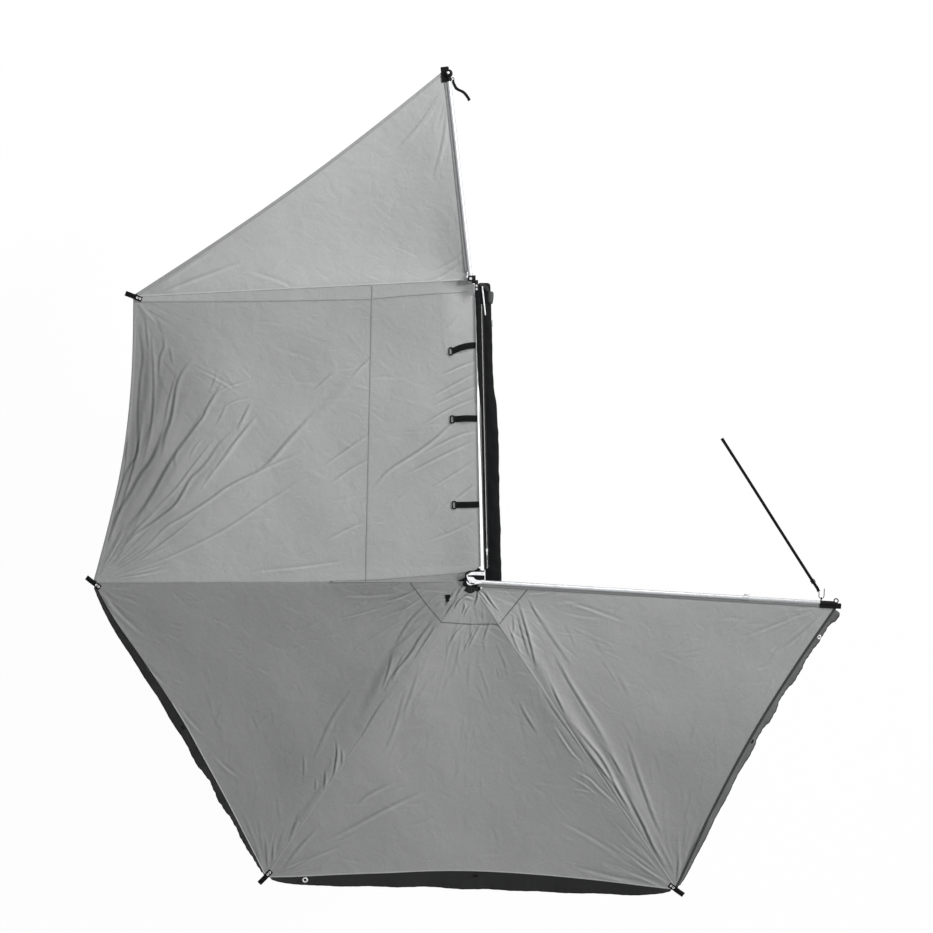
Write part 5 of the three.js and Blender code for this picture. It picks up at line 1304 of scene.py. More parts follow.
def valance_place(name, share, along):
    """The CAD's hem with finer ripples on its main folds."""
    panel = PANELS[name]
    share, along = np.broadcast_arrays(np.asarray(share, float), np.asarray(along, float))
    bulge = np.sin(math.pi * share)
    across = np.linspace(0, 1, 201)
    eased = np.convolve(np.pad(np.interp(across, *OUTSETS[name]), 3, "edge"), np.ones(7) / 7, "valid")
    out = np.interp(share, across, eased)
    wavy = {"left": 0.25 + 0.75 * smoothstep((share - 0.5) / 0.2), "rear": 0.3,
            "right": 0.3 + 0.7 * smoothstep((share - 0.4) / 0.2)}[name]
    seed = {"left": 0.3, "rear": 1.7, "right": 2.9}[name]
    fold = 14 * wavy * bulge * along * np.sin(2 * math.pi * MAIN_FOLDS * share)
    lean = seed + 2 * np.sin(9 * share + seed)
    ripple = 3.2 * along * (0.4 + 0.6 * bulge) * np.sin(2 * math.pi * 23 * share + lean)
    ripple += 1.6 * along * np.sin(2 * math.pi * 51 * share + 3 * seed)
    ripple = ripple * wavy
    place = panel.outer(share) + panel.middle * (0.5 + out * along + fold + ripple * 0.8)[..., None]
    drop = DROP * along * (0.35 + 0.65 * bulge)
    place[..., 2] += -drop + 0.8 * ripple * along + 1.0
    return place


print("the valances drop by", DROP, "mm")

# %% Make the valances and their hems
for name in OUTSETS:
    panel = PANELS[name]
    columns, rows = ((620, 22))
    share, along = np.meshgrid(np.linspace(0.012, 0.988, columns), np.linspace(0, 1, rows))
    outside = valance_place(name, share, along)
    inside = outside - panel.middle * 1.3 - np.array([0, 0, 0.5])
    both = np.vstack([outside.reshape(-1, 3), inside.reshape(-1, 3)])
    count = rows * columns
    faces = grid_faces(rows, columns).tolist()
    faces += [[i + count for i in face[::-1]] for face in faces]
    rim = list(range(columns)) + [r * columns + columns - 1 for r in range(1, rows)]
    rim += [(rows - 1) * columns + c for c in range(columns - 2, -1, -1)]
    rim += [r * columns for r in range(rows - 2, 0, -1)]
    for i, a in enumerate(rim):
        b = rim[(i + 1) % len(rim)]
        faces.append([b, a, a + count, b + count])
    width = float(np.linalg.norm(panel.b[1] - panel.b[0])) * MM
    uv = np.stack([share.ravel() * width, along.ravel() * 0.16], 1)
    obj = build(f"{name}_valance", both, faces, np.vstack([uv, uv]))
    # Painted shade in the troughs of the valance's main folds.
    shade = np.sin(2 * math.pi * MAIN_FOLDS * share + 1.2) * along * 0.3 + 0.15
    paint(obj, "CreaseShade", np.concatenate([np.clip(shade, 0, 1).ravel()] * 2))
    paint(obj, "ShadedTone", np.full(2 * count, 0.5))
    material = "canvas_lining" if name == "right" else "black"
    dress(obj, material, "grey_canvas" if name == "right" else "black_fabric")
    follow(obj, panel, np.concatenate([share.ravel()] * 2))
    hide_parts(f"valance_{name}")
    area = area_of(outside.reshape(-1, 3), rows, columns)
    hem_share, hem_section = np.linspace(0.014, 0.986, 400), tape(14, 2.2)
    low = valance_place(name, hem_share, np.full(400, 0.975))
    at, hem_faces, hem_uv = sweep(low, hem_section, up=panel.middle * 0.4 + np.array([0, 0, 0.9]))
    hem = build(f"{name}_valance_hem", at, hem_faces, hem_uv)
    dress(hem, "edge_hem", "black_fabric")
    follow(hem, panel, np.repeat(hem_share, len(hem_section)))
    print(f"{name} valance: {width:.2f} m along its edge, {area:.2f} m2")


# %% Eyelets
def share_near(panel, pixel):
    t = np.linspace(0.01, 0.99, 800)
    off = to_photo(panel.outer(t)) - np.asarray(pixel, float)
    return float(t[np.argmin((off**2).sum(1))])


def eyelet(parts, place, axis, radius=9.0):
    at = frame_at(place, axis)
    profile = [[radius * 0.55, -1.2], [radius * 0.55, 1.4], [radius * 0.66, 2.3], [radius * 0.86, 2.5],
               [radius, 1.7], [radius * 1.05, 0.3], [radius, -1.2]]
    places, faces = lathe(profile, 28)
    parts.add(at(places), faces[:-2] + [[i + 6 * 28, (i + 1) % 28 + 6 * 28, (i + 1) % 28, i] for i in range(28)])


for name, pixel, radius in (("rear", (305, 880), 23.0), ("right", (816, 635), 18.0)):
    parts, panel = Parts(), PANELS[name]
    share = share_near(panel, pixel)
    p = valance_place(name, [share, share, share + 0.002], [0.3, 0.35, 0.3])
    axis = np.cross(p[2] - p[0], p[1] - p[0])
    axis = axis if axis @ (panel.middle + np.array([0, 0, 0.6])) > 0 else -axis
    axis = unit(unit(axis) * 0.5 + np.array([0, 0, 1.0]))
    eyelet(parts, p[0] + panel.middle * 6 + np.array([0, 0, 7.0]), axis, radius)
    obj = dress(parts.made(f"{name}_valance_eyelets"), "eyelet", "steel")
    follow(obj, panel, np.full(len(obj.data.vertices), share))
    print(f"{name} eyelet at {share:.3f} of the edge")

# %% Toggles

for name, pixel in {"right": (753, 742), "left": (183, 728), "rear": (475.5, 880.7)}.items():
    panel, parts = PANELS[name], Parts()
    share = share_near(panel, pixel)
    p = valance_place(name, [share], [0.22])[0] + panel.middle * 7 + np.array([0, 0, 6.0])
    body, faces = lathe([[0.1, -17], [4.4, -17], [6.2, -15], [6.6, -10], [5.2, -3], [5.0, 0], [5.2, 3], [6.6, 10],
                         [6.2, 15], [4.4, 17], [0.1, 17]], 24)
    along_edge = unit(panel.outer(np.array([share + 0.01])) - panel.outer(np.array([share])))[0]
    parts.add(frame_at(p, along_edge, (0, 0, 1))(body), faces)
    loop, faces = torus_points(13, 1.6, 28, 8)
    loop[:, 0] *= 1.35
    parts.add(frame_at(p - panel.middle * 12 - np.array([0, 0, 1.0]), np.cross(along_edge, panel.middle),
                       panel.middle)(loop), faces)
    obj = dress(parts.made(f"{name}_toggle"), "plastic", "black_plastic")
    follow(obj, panel, np.full(len(obj.data.vertices), share))
    print(f"{name} toggle at {share:.3f} of the edge")

# %% [markdown]
# ## Corner tabs: folded webbing with two eyelets
# Where an arm's tip meets the canvas, folded webbing takes the pull. A plain box could stand for it, but its
# end bends down over the tip, so a short section is swept along a bent line and turned as the tab really lies.
# It rides on its arm, because it is sewn too tightly to fold.

# %% Make the tabs
TABS = {"arm2": (-24.0, 0.5), "arm3": (-36.0, 2.5), "arm4": (-9.0, 0.5), "arm5": (19.0, 0.6)}
for arm, (turn, lift) in TABS.items():
    reach = ARMS[arm][3]
    seam = HUB_EDGE if ARMS[arm][0] == HUB else FRONT_EDGE
    tilt = math.atan2(seam - tip(arm), reach)
    run = np.linspace(-75, 74, 40)
    droop = -np.interp(run, [-75, 0, 37.5, 75], [0, 0, 4, 16])
    droop = np.convolve(np.pad(droop, 3, "edge"), np.ones(7) / 7, "valid")
    section = tape(42, 3.0)
    at, faces, uv = sweep(np.stack([run, np.zeros(40), droop + 1.5], 1), section)
    c, s = math.cos(math.radians(turn)), math.sin(math.radians(turn))
    at = np.stack([at[:, 0] * c - at[:, 1] * s, at[:, 0] * s + at[:, 1] * c, at[:, 2]], 1)
    eyelets = Parts()

    def place_tab(p):
        p = np.asarray(p, float)
        x = p[:, 0] * math.cos(tilt) + p[:, 2] * math.sin(tilt)
        z = -p[:, 0] * math.sin(tilt) + p[:, 2] * math.cos(tilt)
        return beside(arm, reach + x, p[:, 1], tip(arm) + 2 + lift + z)

    obj = build(f"{arm}_tab", place_tab(at), faces, uv)
    dress(obj, "webbing", "webbing", arm)
    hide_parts(f"{arm}_corner_tab")
    for x in (-58, -34):
        z = float(np.interp(x, run, droop)) + 3.2
        eyelet(eyelets, place_tab([[x * c, x * s, z]])[0], (0, 0, 1))
    dress(eyelets.made(f"{arm}_tab_eyelets"), "eyelet", "steel", arm)
    print(f"{arm} tab: turned by {turn} degrees, tilted by {math.degrees(tilt):.1f}")

# %% [markdown]
# ## Tie straps by the rail, with their slotted rings
# Three wide straps lie on the side panel beside the rail and end in a slotted ring. They tie the canopy when it
# is rolled up. A box would float over the sagging cloth or sink into it, so a section is swept along the
# panel's own surface, and a slack strap bows up a little in its middle.

# %% Make the straps and rings
for name, place, wave in (("front", 707.6, 1.0), ("middle", 100.0, 0.8), ("rear", -610.0, 0.35)):
    panel = PANELS["side"]
    share = 0.06 + (place + GROOVE_END) / (2 * GROOVE_END) * 0.88
    span = float(np.linalg.norm(panel.inner(np.array([share])) - panel.outer(np.array([share]))))
    out = np.linspace(1, 196, 60)
    rows = 9 * out / span
    low = np.floor(rows)
    a = panel.base(np.full(60, share), low / 9)
    b = panel.base(np.full(60, share), (low + 1) / 9)
    line = a + (b - a) * (rows - low)[:, None]
    bow = np.sin(math.pi * out / 200)
    line[:, 2] += 2 + 1.8 + 9 * wave * bow**2
    line[:, 1] = place + (6 * wave * np.sin(out / 60) if name != "rear" else 0)
    if name == "front":
        line[:, 1] -= 44 * (out / 196) ** 1.4
    at, faces, uv = sweep(line, tape(52, 2.6))
    obj = build(f"tie_webbing_{name}", at, faces, uv)
    dress(obj, "webbing", "webbing")
    hang_on_rail(obj)
    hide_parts(f"tie_strap_{name}")
    parts = Parts()
    end = line[-1]
    ring = np.array([[-26, -29], [-26, 29], [2, 29], [2, -29]], float)
    rounded = []
    for i, corner in enumerate(ring):
        before, after = ring[i - 1], ring[(i + 1) % 4]
        for t in np.linspace(0, 1, 6):
            q = corner + unit(before - corner) * 7 * (1 - t) ** 2 + unit(after - corner) * 7 * t**2
            rounded.append(q)
    loop = np.array([[end[0] + x, end[1] + y, end[2] + 0.8] for x, y in rounded + rounded[:2]])
    at, faces, _ = sweep(loop[:-1], ring_section(5.0, 12))
    parts.add(at, faces)
    obj = dress(parts.made(f"tie_ring_{name}"), "plastic", "black_plastic")
    hang_on_rail(obj)
    print(f"{name} tie strap at {place:.0f} mm along the rail")

# %% [markdown]
# ## The travel bag: a lofted shell that sags between the feet, with its zip and end flap
# Folded, the awning lies in a bag of coated black cloth. Open, the bag hangs behind the rail as a soft tube
# with a flat bottom. Sculpting could crumple it more freely, but it has to stay inside the CAD's own box. So a
# row of stations makes one outline grow and shrink along the bag, and waves of five lengths crumple it.

# %% The bag's outline and its stations
BAG = {"back": 21.8, "bottom": -47.0, "height": 75.0, "width": 138.0, "length": 2557.0, "shift": -46.0}
STATIONS = np.array([[0, 0.8, 0.5], [0.012, 0.93, 0.78], [0.03, 0.98, 0.95], [0.06, 1, 1],
                     [0.3, 0.985, 0.985], [0.52, 0.99, 0.99], [0.6, 0.94, 0.99], [0.66, 0.76, 0.985],
                     [0.82, 0.735, 0.98], [0.985, 0.72, 0.98], [0.995, 0.69, 0.9], [1, 0.6, 0.72]])
OUTLINE = np.array([[0.0, 0.1], [0.02, 0.02], [0.1, 0.0], [0.5, 0.0], [0.86, 0.01], [0.96, 0.09],
                    [0.995, 0.3], [0.97, 0.56], [0.85, 0.78], [0.64, 0.9], [0.4, 0.97], [0.2, 0.985],
                    [0.06, 0.985], [0.01, 0.93], [0.0, 0.6]])
closed = smooth_line(np.vstack([OUTLINE, OUTLINE[:1]]), 5)[:-1]
bag_rows = 420
spread = np.linspace(0, 1, bag_rows)
width_at = np.interp(spread, STATIONS[:, 0], STATIONS[:, 1])
height_at = np.interp(spread, STATIONS[:, 0], STATIONS[:, 2])
count = len(closed)
print("the bag:", bag_rows, "sections of", count, "points")

# %% The bag's shell
x = closed[None, :, 0] * width_at[:, None]
z = closed[None, :, 1] * height_at[:, None]
y = BAG["shift"] + (spread[:, None] - 0.5) * BAG["length"] + 0 * x
top = np.clip((z - 0.55) / 0.4, 0, 1)
outer_side = np.clip((x - 0.45) / 0.4, 0, 1)
wave = np.zeros_like(x)
CRUMPLES = ((61, 1.0, 0.9), (97, 0.9, -0.6), (163, 1.2, 1.6), (41, 0.5, 0.2), (277, 1.5, -1.1))
for k, (pitch, size, lean) in enumerate(CRUMPLES):
    wave += size * np.sin(y / pitch * 2 * math.pi / 2.2 + lean * x * 6 + 1.7 * k + 0.8 * np.sin(y / 211 + k))
sagging = 2.0 * (1 - np.cos((y + 900) / 900 * 2 * math.pi)) * outer_side * top
edge = np.clip(x / 0.08, 0, 1)
X = BAG["back"] + x * BAG["width"] + 0.5 - wave * 0.9 * outer_side * (1 - top) - 1.5 * outer_side
Z = BAG["bottom"] + z * BAG["height"] - (1.4 + wave * 0.75) * top * edge - sagging + 0.2
bag_places = np.stack([X, y, np.maximum(Z, BAG["bottom"] + 0.05)], -1).reshape(-1, 3)
faces = grid_faces(bag_rows, count, True)[:, ::-1].tolist()
faces += [list(range(count)), [(bag_rows - 1) * count + i for i in range(count)][::-1]]
ring_run = np.concatenate([[0], np.cumsum(np.linalg.norm(np.diff(closed, axis=0), axis=1))]) * 0.138
bag_uv = np.stack(np.broadcast_arrays(y * MM, ring_run[None, :]), -1).reshape(-1, 2)
bag = build("bag_shell", bag_places, faces, bag_uv)
# Painted shade in the valleys of the bag's crumples.
paint(bag, "CreaseShade", np.clip(0.4 - wave * 0.22, 0, 1).ravel() * 0.6)
dress(bag, "bag", "black_fabric", "frame")
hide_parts("travel_bag")
print("waves that crumple the bag:", len(CRUMPLES))

# %% The zip: its tape and two rows of teeth
zip_x, zip_low, zip_from, zip_to = 39.8, 28.3, -1145.5, 1053.5
run = np.linspace(zip_from, zip_to, 260)
tape_line = np.stack([np.full(260, zip_x), run, np.full(260, zip_low + 0.55) + 0.15 * np.sin(run / 37)], 1)
at, faces, uv = sweep(tape_line, tape(30, 0.8))
obj = build("zip_tape", at, faces, uv)
dress(obj, "edge_hem", "black_fabric", "frame")
teeth = Parts()
step = 4.2
corner = np.array([[-1, -1, 0], [1, -1, 0], [1, 1, 0], [-1, 1, 0], [-0.7, -0.7, 1], [0.7, -0.7, 1],
                   [0.7, 0.7, 1], [-0.7, 0.7, 1]])
box_faces = [[3, 2, 1, 0], [4, 5, 6, 7], [0, 1, 5, 4], [1, 2, 6, 5], [2, 3, 7, 6], [3, 0, 4, 7]]
for i, y_at in enumerate(np.arange(zip_from + 3, zip_to - 3, step)):
    side = 1 if i % 2 else -1
    size = np.array([2.6, step * 0.36, 1.75])
    teeth.add(corner * size + np.array([zip_x + side * 1.3, y_at, zip_low + 1.0]), box_faces)
obj = teeth.made("zip_teeth", smooth=False)
dress(obj, "nickel", "steel", "frame")
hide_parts("bag_zip")
print("zip teeth:", teeth.count // len(corner))

# %% The end flap
FLAP_RADIUS = 92
front_end = BAG["shift"] + BAG["length"] / 2
angles = np.radians(np.linspace(86, 14, 48))
radius = FLAP_RADIUS - 17
middle_line = np.stack([BAG["back"] + radius * np.cos(angles), front_end - FLAP_RADIUS + radius * np.sin(angles),
                        28.6 + 1.5 + 0.3 * np.sin(angles * 9)], 1)
grow = np.interp(np.linspace(0, 1, 48), [0, 0.08, 0.9, 1], [0.85, 1, 1, 0.75])
at, faces, uv = sweep(middle_line, tape(33, 2.8), scale=grow)
flap = build("end_flap", at, faces, uv)
dress(flap, "black", "black_fabric", "frame")
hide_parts("bag_end_flap")
print("the flap's middle line has a radius of", radius, "mm")

# %% [markdown]
# ## Guy straps
# Two straps hold the awning down: one runs out from arm 6 as if pulled, and one hangs from arm 1's tip. A curve
# with a bevel could draw them, but a flat strap has to know which way its face looks all along its path. The
# sweep keeps that, and the CAD's own route gives the points. Each ends in a loop that is sewn back on itself.

# %% The routes
REAR_GUY = [[-21.4, 61.5, 5.6], [-26.4, 77.5, 5.6], [-34.4, 94.5, 4.8], [-48.4, 117.5, 1.6], [-66.4, 146.5, -1],
            [-94.4, 193.5, -6], [-132.4, 257.5, -11], [-180.4, 338.5, -18], [-232.4, 426.5, -26], [-286.4, 518.5, -34],
            [-342.4, 613.5, -43], [-398.4, 709.5, -52], [-454.4, 805.5, -61], [-510.4, 901.5, -71],
            [-566.4, 997.5, -82], [-622.4, 1093.5, -93], [-678.4, 1189.5, -105], [-728.4, 1275.5, -118],
            [-770.4, 1347.5, -130]]
FRONT_GUY = [[2.6, -12.6, -3.9], [2.6, -13.6, -26.8], [4.6, -14.6, -61.8], [9.6, -16.6, -101.8], [15.6, -18.6, -146.8],
             [22.6, -20.6, -191.8], [32.6, -21.6, -231.8], [47.6, -22.6, -263.8], [64.6, -23.6, -289.8],
             [81.6, -24.6, -321.8], [95.6, -25.6, -361.8], [107.6, -27.6, -406.8], [118.6, -29.6, -456.8],
             [128.6, -31.6, -511.8], [136.6, -33.6, -566.8]]
REAR_EYE = beside("arm6", 2911, 30.1, ARM6_LEVEL)
FRONT_EYE = beside("arm1", 1650, -32.6, ARM1_LEVEL)
print("points on the routes:", len(REAR_GUY), len(FRONT_GUY))


# %% A strap and its sewn loop
def guy(name, steps, eye, up, body, node):
    """A flat strap along the CAD's route."""
    line = smooth_line(np.array(steps, float) + eye, 8)
    at, faces, uv = sweep(line, tape(25, 2.4), up=up)
    obj = build(name, at, faces, uv)
    dress(obj, "webbing", "webbing", body)
    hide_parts(node)
    path = (line + OFFSET) * MM
    length = float(np.linalg.norm(np.diff(path, axis=0), axis=1).sum())
    print(f"{name}: {length:.3f} m")
    return obj, path.tolist(), length, line


def strap_end(name, line, up, body):
    """A sewn loop on a strap's far end."""
    back = unit(line[-1] - line[-3])
    side = unit(np.cross(up, back))
    normal = np.cross(back, side)
    t = np.linspace(0, 2 * math.pi, 40, endpoint=False)
    centre = line[-1] - back * 15
    loop = centre + np.outer(np.cos(t) * 17, back) + np.outer(np.sin(t) * 6.5, normal)
    places = []
    for shift in (-12.5, 12.5):
        for grow in (1.0, 0.72):
            places.append(centre + (loop - centre) * grow + side * shift)
    places = np.stack(places, 1)
    faces = []
    n = len(t)
    for i in range(n):
        j = (i + 1) % n
        for a, b in ((0, 2), (2, 3), (3, 1), (1, 0)):
            faces.append([i * 4 + a, j * 4 + a, j * 4 + b, i * 4 + b])
    uv = np.stack([np.repeat(t * 0.012, 4), np.tile([-1, -1, 1, 1], n)], 1)
    obj = build(name, places.reshape(-1, 3), faces, uv)
    return dress(obj, "webbing", "webbing", body)


REAR_UP, FRONT_UP = (0, 0, 1), (0.57, -0.78, 0.19)
rear_strap, rear_path, rear_length, rear_line = guy("rear_strap", REAR_GUY, REAR_EYE, REAR_UP, "arm6_pole",
                                                    "rear_guy_strap")
rear_loop = strap_end("rear_strap_loop", rear_line, np.array(REAR_UP, float), "arm6_pole")
front_strap, front_path, front_length, front_line = guy("front_strap", FRONT_GUY, FRONT_EYE, FRONT_UP, "arm1",
                                                        "front_guy_strap")
front_loop = strap_end("front_strap_loop", front_line, np.array(FRONT_UP), "arm1")

# %% [markdown]
# ## Metalwork: the CAD's own solids with worn edges, and their small fasteners
# Rail, plates, tubes and castings are exact solids in the CAD, so they are kept and not modelled again. No real
# edge is sharp, so a bevel of under a millimetre catches the light, and weighted normals keep flat faces flat.
# Bolts and rivets repeat. Copies could be placed one by one, but Geometry Nodes set one shape on many points
# and keep its sizes as named inputs. The result is turned into a plain mesh, one for each body.

# %% Soften and dress the frame's own solids
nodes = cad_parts


def finish_node(name, material, bevel=0.6):
    obj = nodes[name]
    obj.data.materials.clear()
    obj.data.materials.append(M[material] if isinstance(material, str) else material)
    weld = obj.modifiers.new("weld", "WELD")
    weld.merge_threshold = 0.00002
    if bevel:
        made = obj.modifiers.new("edge", "BEVEL")
        made.width = bevel * MM
        made.segments = 2
        made.limit_method = "ANGLE"
        made.angle_limit = math.radians(38)
        made.harden_normals = False
    obj.data.polygons.foreach_set("use_smooth", [True] * len(obj.data.polygons))
    normals = obj.modifiers.new("shading", "WEIGHTED_NORMAL")
    normals.keep_sharp = False
    return obj


tube_metal = {
    arm: metal(f"{arm} tube metal", (0.42, 0.43, 0.44), 0.46, math.radians(ARMS[arm][2])) for arm in ARMS
}
finish_node("base_rail", "aluminium", 0.8)
for name in ("hub_upper_plate", "hub_lower_plate"):
    finish_node(name, "plate", 0.8)
for name in ("front_foot", "middle_foot", "rear_foot"):
    finish_node(name, "cast", 1.0)
for name in ("hub_post", "front_post", "zip_slider"):
    finish_node(name, "steel", 0.4)
finish_node("rear_guy_hook", "black_steel", 0.4)
finish_node("front_bracket", "black_steel", 0.8)
finish_node("arm1_end_fitting", "plastic", 0.8)
finish_node("arm6_end_fitting", "black_steel", 0.8)
finish_node("rear_guy_buckle", "plastic", 0.6)
for arm in ARMS:
    finish_node(f"{arm}_knuckle", "cast", 0.8)
    finish_node(f"{arm}_tube", tube_metal[arm], 0.4)
    if arm != "arm1":
        finish_node(f"{arm}_collar", "cast", 0.6)
        finish_node(f"{arm}_extension", tube_metal[arm], 0.4)
    if f"{arm}_tip_cap" in nodes:
        finish_node(f"{arm}_tip_cap", "plastic", 0.8)
print("solids with a softened edge:", sum("edge" in obj.modifiers for obj in nodes.values()))


# %% Geometry Nodes that repeat a shape
def repeat_tree(name, sizes, shapes):
    """Geometry Nodes that set small shapes on each point of a mesh, turned to the point's own axis."""
    tree = bpy.data.node_groups.new(name, "GeometryNodeTree")
    tree.interface.new_socket(name="Points", in_out="INPUT", socket_type="NodeSocketGeometry")
    tree.interface.new_socket(name="Material", in_out="INPUT", socket_type="NodeSocketMaterial")
    for label, size in sizes.items():
        tree.interface.new_socket(name=label, in_out="INPUT", socket_type="NodeSocketFloat").default_value = size
    tree.interface.new_socket(name="Mesh", in_out="OUTPUT", socket_type="NodeSocketGeometry")
    given = tree.nodes.new("NodeGroupInput").outputs

    def node(kind, ins=(), **props):
        made = tree.nodes.new(kind)
        for key, value in props.items():
            setattr(made, key, value)
        for key, value in dict(ins).items():
            if isinstance(value, bpy.types.NodeSocket):
                tree.links.new(value, made.inputs[key])
            else:
                made.inputs[key].default_value = value
        return made.outputs[0]

    joined = tree.nodes.new("GeometryNodeJoinGeometry")
    for shape in shapes(node, given):
        tree.links.new(shape, joined.inputs[0])
    axis = node("GeometryNodeInputNamedAttribute", {"Name": "axis"}, data_type="FLOAT_VECTOR")
    turn = node("FunctionNodeAlignRotationToVector", {"Vector": axis}, axis="Z")
    placed = node("GeometryNodeInstanceOnPoints", {"Points": given["Points"], "Instance": joined.outputs[0],
                                                   "Rotation": turn})
    real = node("GeometryNodeRealizeInstances", {"Geometry": placed})
    done = node("GeometryNodeSetMaterial", {"Geometry": real, "Material": given["Material"]})
    tree.links.new(done, tree.nodes.new("NodeGroupOutput").inputs["Mesh"])
    return tree


def bolt_shapes(node, given):
    """A washer, a hexagon head and its chamfered crown."""
    radius = node("ShaderNodeMath", {0: given["Across Flats"], 1: 1 / math.sqrt(3)}, operation="MULTIPLY")
    crown = node("ShaderNodeMath", {0: radius, 1: 0.86}, operation="MULTIPLY")
    washer = node("GeometryNodeMeshCone", {"Vertices": 28, "Radius Top": given["Washer Radius"],
                                           "Radius Bottom": given["Washer Radius"], "Depth": 0.0016})
    head = node("GeometryNodeMeshCone", {"Vertices": 6, "Radius Top": radius, "Radius Bottom": radius,
                                         "Depth": given["Head Height"]})
    top = node("GeometryNodeMeshCone", {"Vertices": 6, "Radius Top": crown, "Radius Bottom": radius, "Depth": 0.0014})
    up = node("ShaderNodeCombineXYZ", {"Z": given["Head Height"]})
    return washer, head, node("GeometryNodeTransform", {"Geometry": top, "Translation": up})


def rivet_shapes(node, given):
    """A low dome, half sunk."""
    dome = node("GeometryNodeMeshUVSphere", {"Segments": 20, "Rings": 10, "Radius": given["Radius"]})
    return (node("GeometryNodeTransform", {"Geometry": dome, "Scale": (1.0, 1.0, 0.5)}),)


BOLTS = repeat_tree("hexagon bolts", {"Across Flats": 0.01, "Head Height": 0.006, "Washer Radius": 0.009},
                    bolt_shapes)
RIVETS = repeat_tree("dome rivets", {"Radius": 0.0036}, rivet_shapes)
print("nodes in the two trees:", len(BOLTS.nodes), len(RIVETS.nodes))


# %% Bolts on the frame
def repeated(name, tree, spots, material, smooth=False):
    """One mesh of a tree's shape at every (place, axis)."""
    mesh = bpy.data.meshes.new(name)
    mesh.from_pydata(((np.array([place for place, _ in spots], float) + OFFSET) * MM).tolist(), [], [])
    axes = np.array([unit(np.asarray(axis, float)) for _, axis in spots])
    mesh.attributes.new("axis", "FLOAT_VECTOR", "POINT").data.foreach_set("vector", axes.ravel())
    obj = bpy.data.objects.new(name, mesh)
    scene.collection.objects.link(obj)
    layer = obj.modifiers.new("repeat", "NODES")
    layer.node_group = tree
    for item in tree.interface.items_tree:
        if item.in_out == "INPUT" and item.name == "Material":
            layer[item.identifier] = M[material]
    made = bpy.data.meshes.new_from_object(obj.evaluated_get(bpy.context.evaluated_depsgraph_get()))
    obj.modifiers.clear()
    obj.data = made
    made.polygons.foreach_set("use_smooth", [smooth] * len(made.polygons))
    for left_over in [a for a in made.attributes if a.name == "axis"]:
        made.attributes.remove(left_over)
    print(f"{name}: {len(spots)} of them")
    return obj


spots = [((21.4, y_at + side, -5), (1, 0, 0)) for y_at in (900, 0, -900) for side in (-18, 18)]
spots += [((x_at, -1180, sign * 99.4), (0, 0, sign)) for x_at in (-52, -4) for sign in (1, -1)]
spots += [((0.5, y_at, 99.4), (0, 0, 1)) for y_at in (1170, 1198)]
dress(repeated("frame_bolts", BOLTS, spots, "steel"), "steel", "steel", "frame")


# %% Caps on the rail's ends, held by rivets
def rivet(parts, place, axis, radius=4.0, tall=2.0):
    profile = [[0.1, -0.5], [radius, -0.5], [radius, 0.0], [radius * 0.86, tall * 0.6], [radius * 0.5, tall],
               [0.1, tall]]
    places, faces = lathe(profile, 20)
    parts.add(frame_at(place, axis)(places), faces)


caps = Parts()
for sign, y_end in ((1, 1220.2), (-1, -1220.2)):
    outline = smooth_line([[-12, -90], [12, -90], [14, -88], [14, 88], [12, 90], [-12, 90], [-14, 88],
                           [-14, -88], [-12, -90]], 4)[:-1]
    rings = []
    for grow, out in ((1.0, 0.0), (1.0, 2.6), (0.985, 3.6), (0.95, 4.2)):
        ring = outline * (1 - (1 - grow) * np.array([3.0, 1.0]))
        rings.append(np.stack([ring[:, 0], np.full(len(ring), y_end + sign * out), ring[:, 1]], 1))
    n = len(outline)
    faces = grid_faces(4, n, True)
    faces = (faces if sign < 0 else faces[:, ::-1]).tolist()
    faces += [list(range(n)), [3 * n + i for i in range(n)]]
    caps.add(np.vstack(rings), faces)
    for z_at in (-70, 70):
        rivet(caps, (0, y_end + sign * 4.2, z_at), (0, sign, 0), 4, 1.4)
dress(caps.made("rail_end_caps"), "plastic", "black_plastic", "frame")
print("points in the end caps:", caps.count)

# %% Rivets on the arms
for arm, (_, level, _, _) in ARMS.items():
    spots = [(beside(arm, out, side * 17.4, level), beside(arm, 0, side, 0) - beside(arm, 0, 0, 0))
             for out in (72, 98) for side in (1, -1)]
    dress(repeated(f"{arm}_rivets", RIVETS, spots, "steel", smooth=True), "steel", "steel", arm)

# %% The knob on arm 1's fitting: a white ball over the fitting's own stem, in a black cup
turn = np.linspace(0.02, math.pi - 0.02, 20)
places, faces = lathe(np.stack([11.6 * np.sin(turn), -11.6 * np.cos(turn)], 1), 32)
dress(Parts().add(places + beside("arm1", 1695, 0, 199.6), faces).made("arm1_knob"), "knob", "black_plastic", "arm1")
cup = [[0.1, 170], [30, 170], [34, 173], [34, 184], [31, 188.5], [14, 190], [0.1, 190]]
places, faces = lathe(cup, 40)
dress(Parts().add(places + beside("arm1", 1695, -3, 0.0), faces).made("arm1_knob_cup"), "plastic",
      "black_plastic", "arm1")
print("the knob is 23 mm wide, its cup 68 mm")

# %% [markdown]
# ## Gathered black cloth round the hub
# Where four arms meet, black cloth is pulled together round the post in small pleats. It could be simulated,
# but pleats this small would need a very fine cloth. A ring of points with a sum of three sines gives them at
# once, and the ring is cut back where the rail begins. The other black and grey pieces beside the rail follow:
# a tab, strips on the rail, one of them painted shade, the bag's apron, its rolled end with a bright stay, and the
# trim of the upper plate, with painted shade in the gap between its lugs.

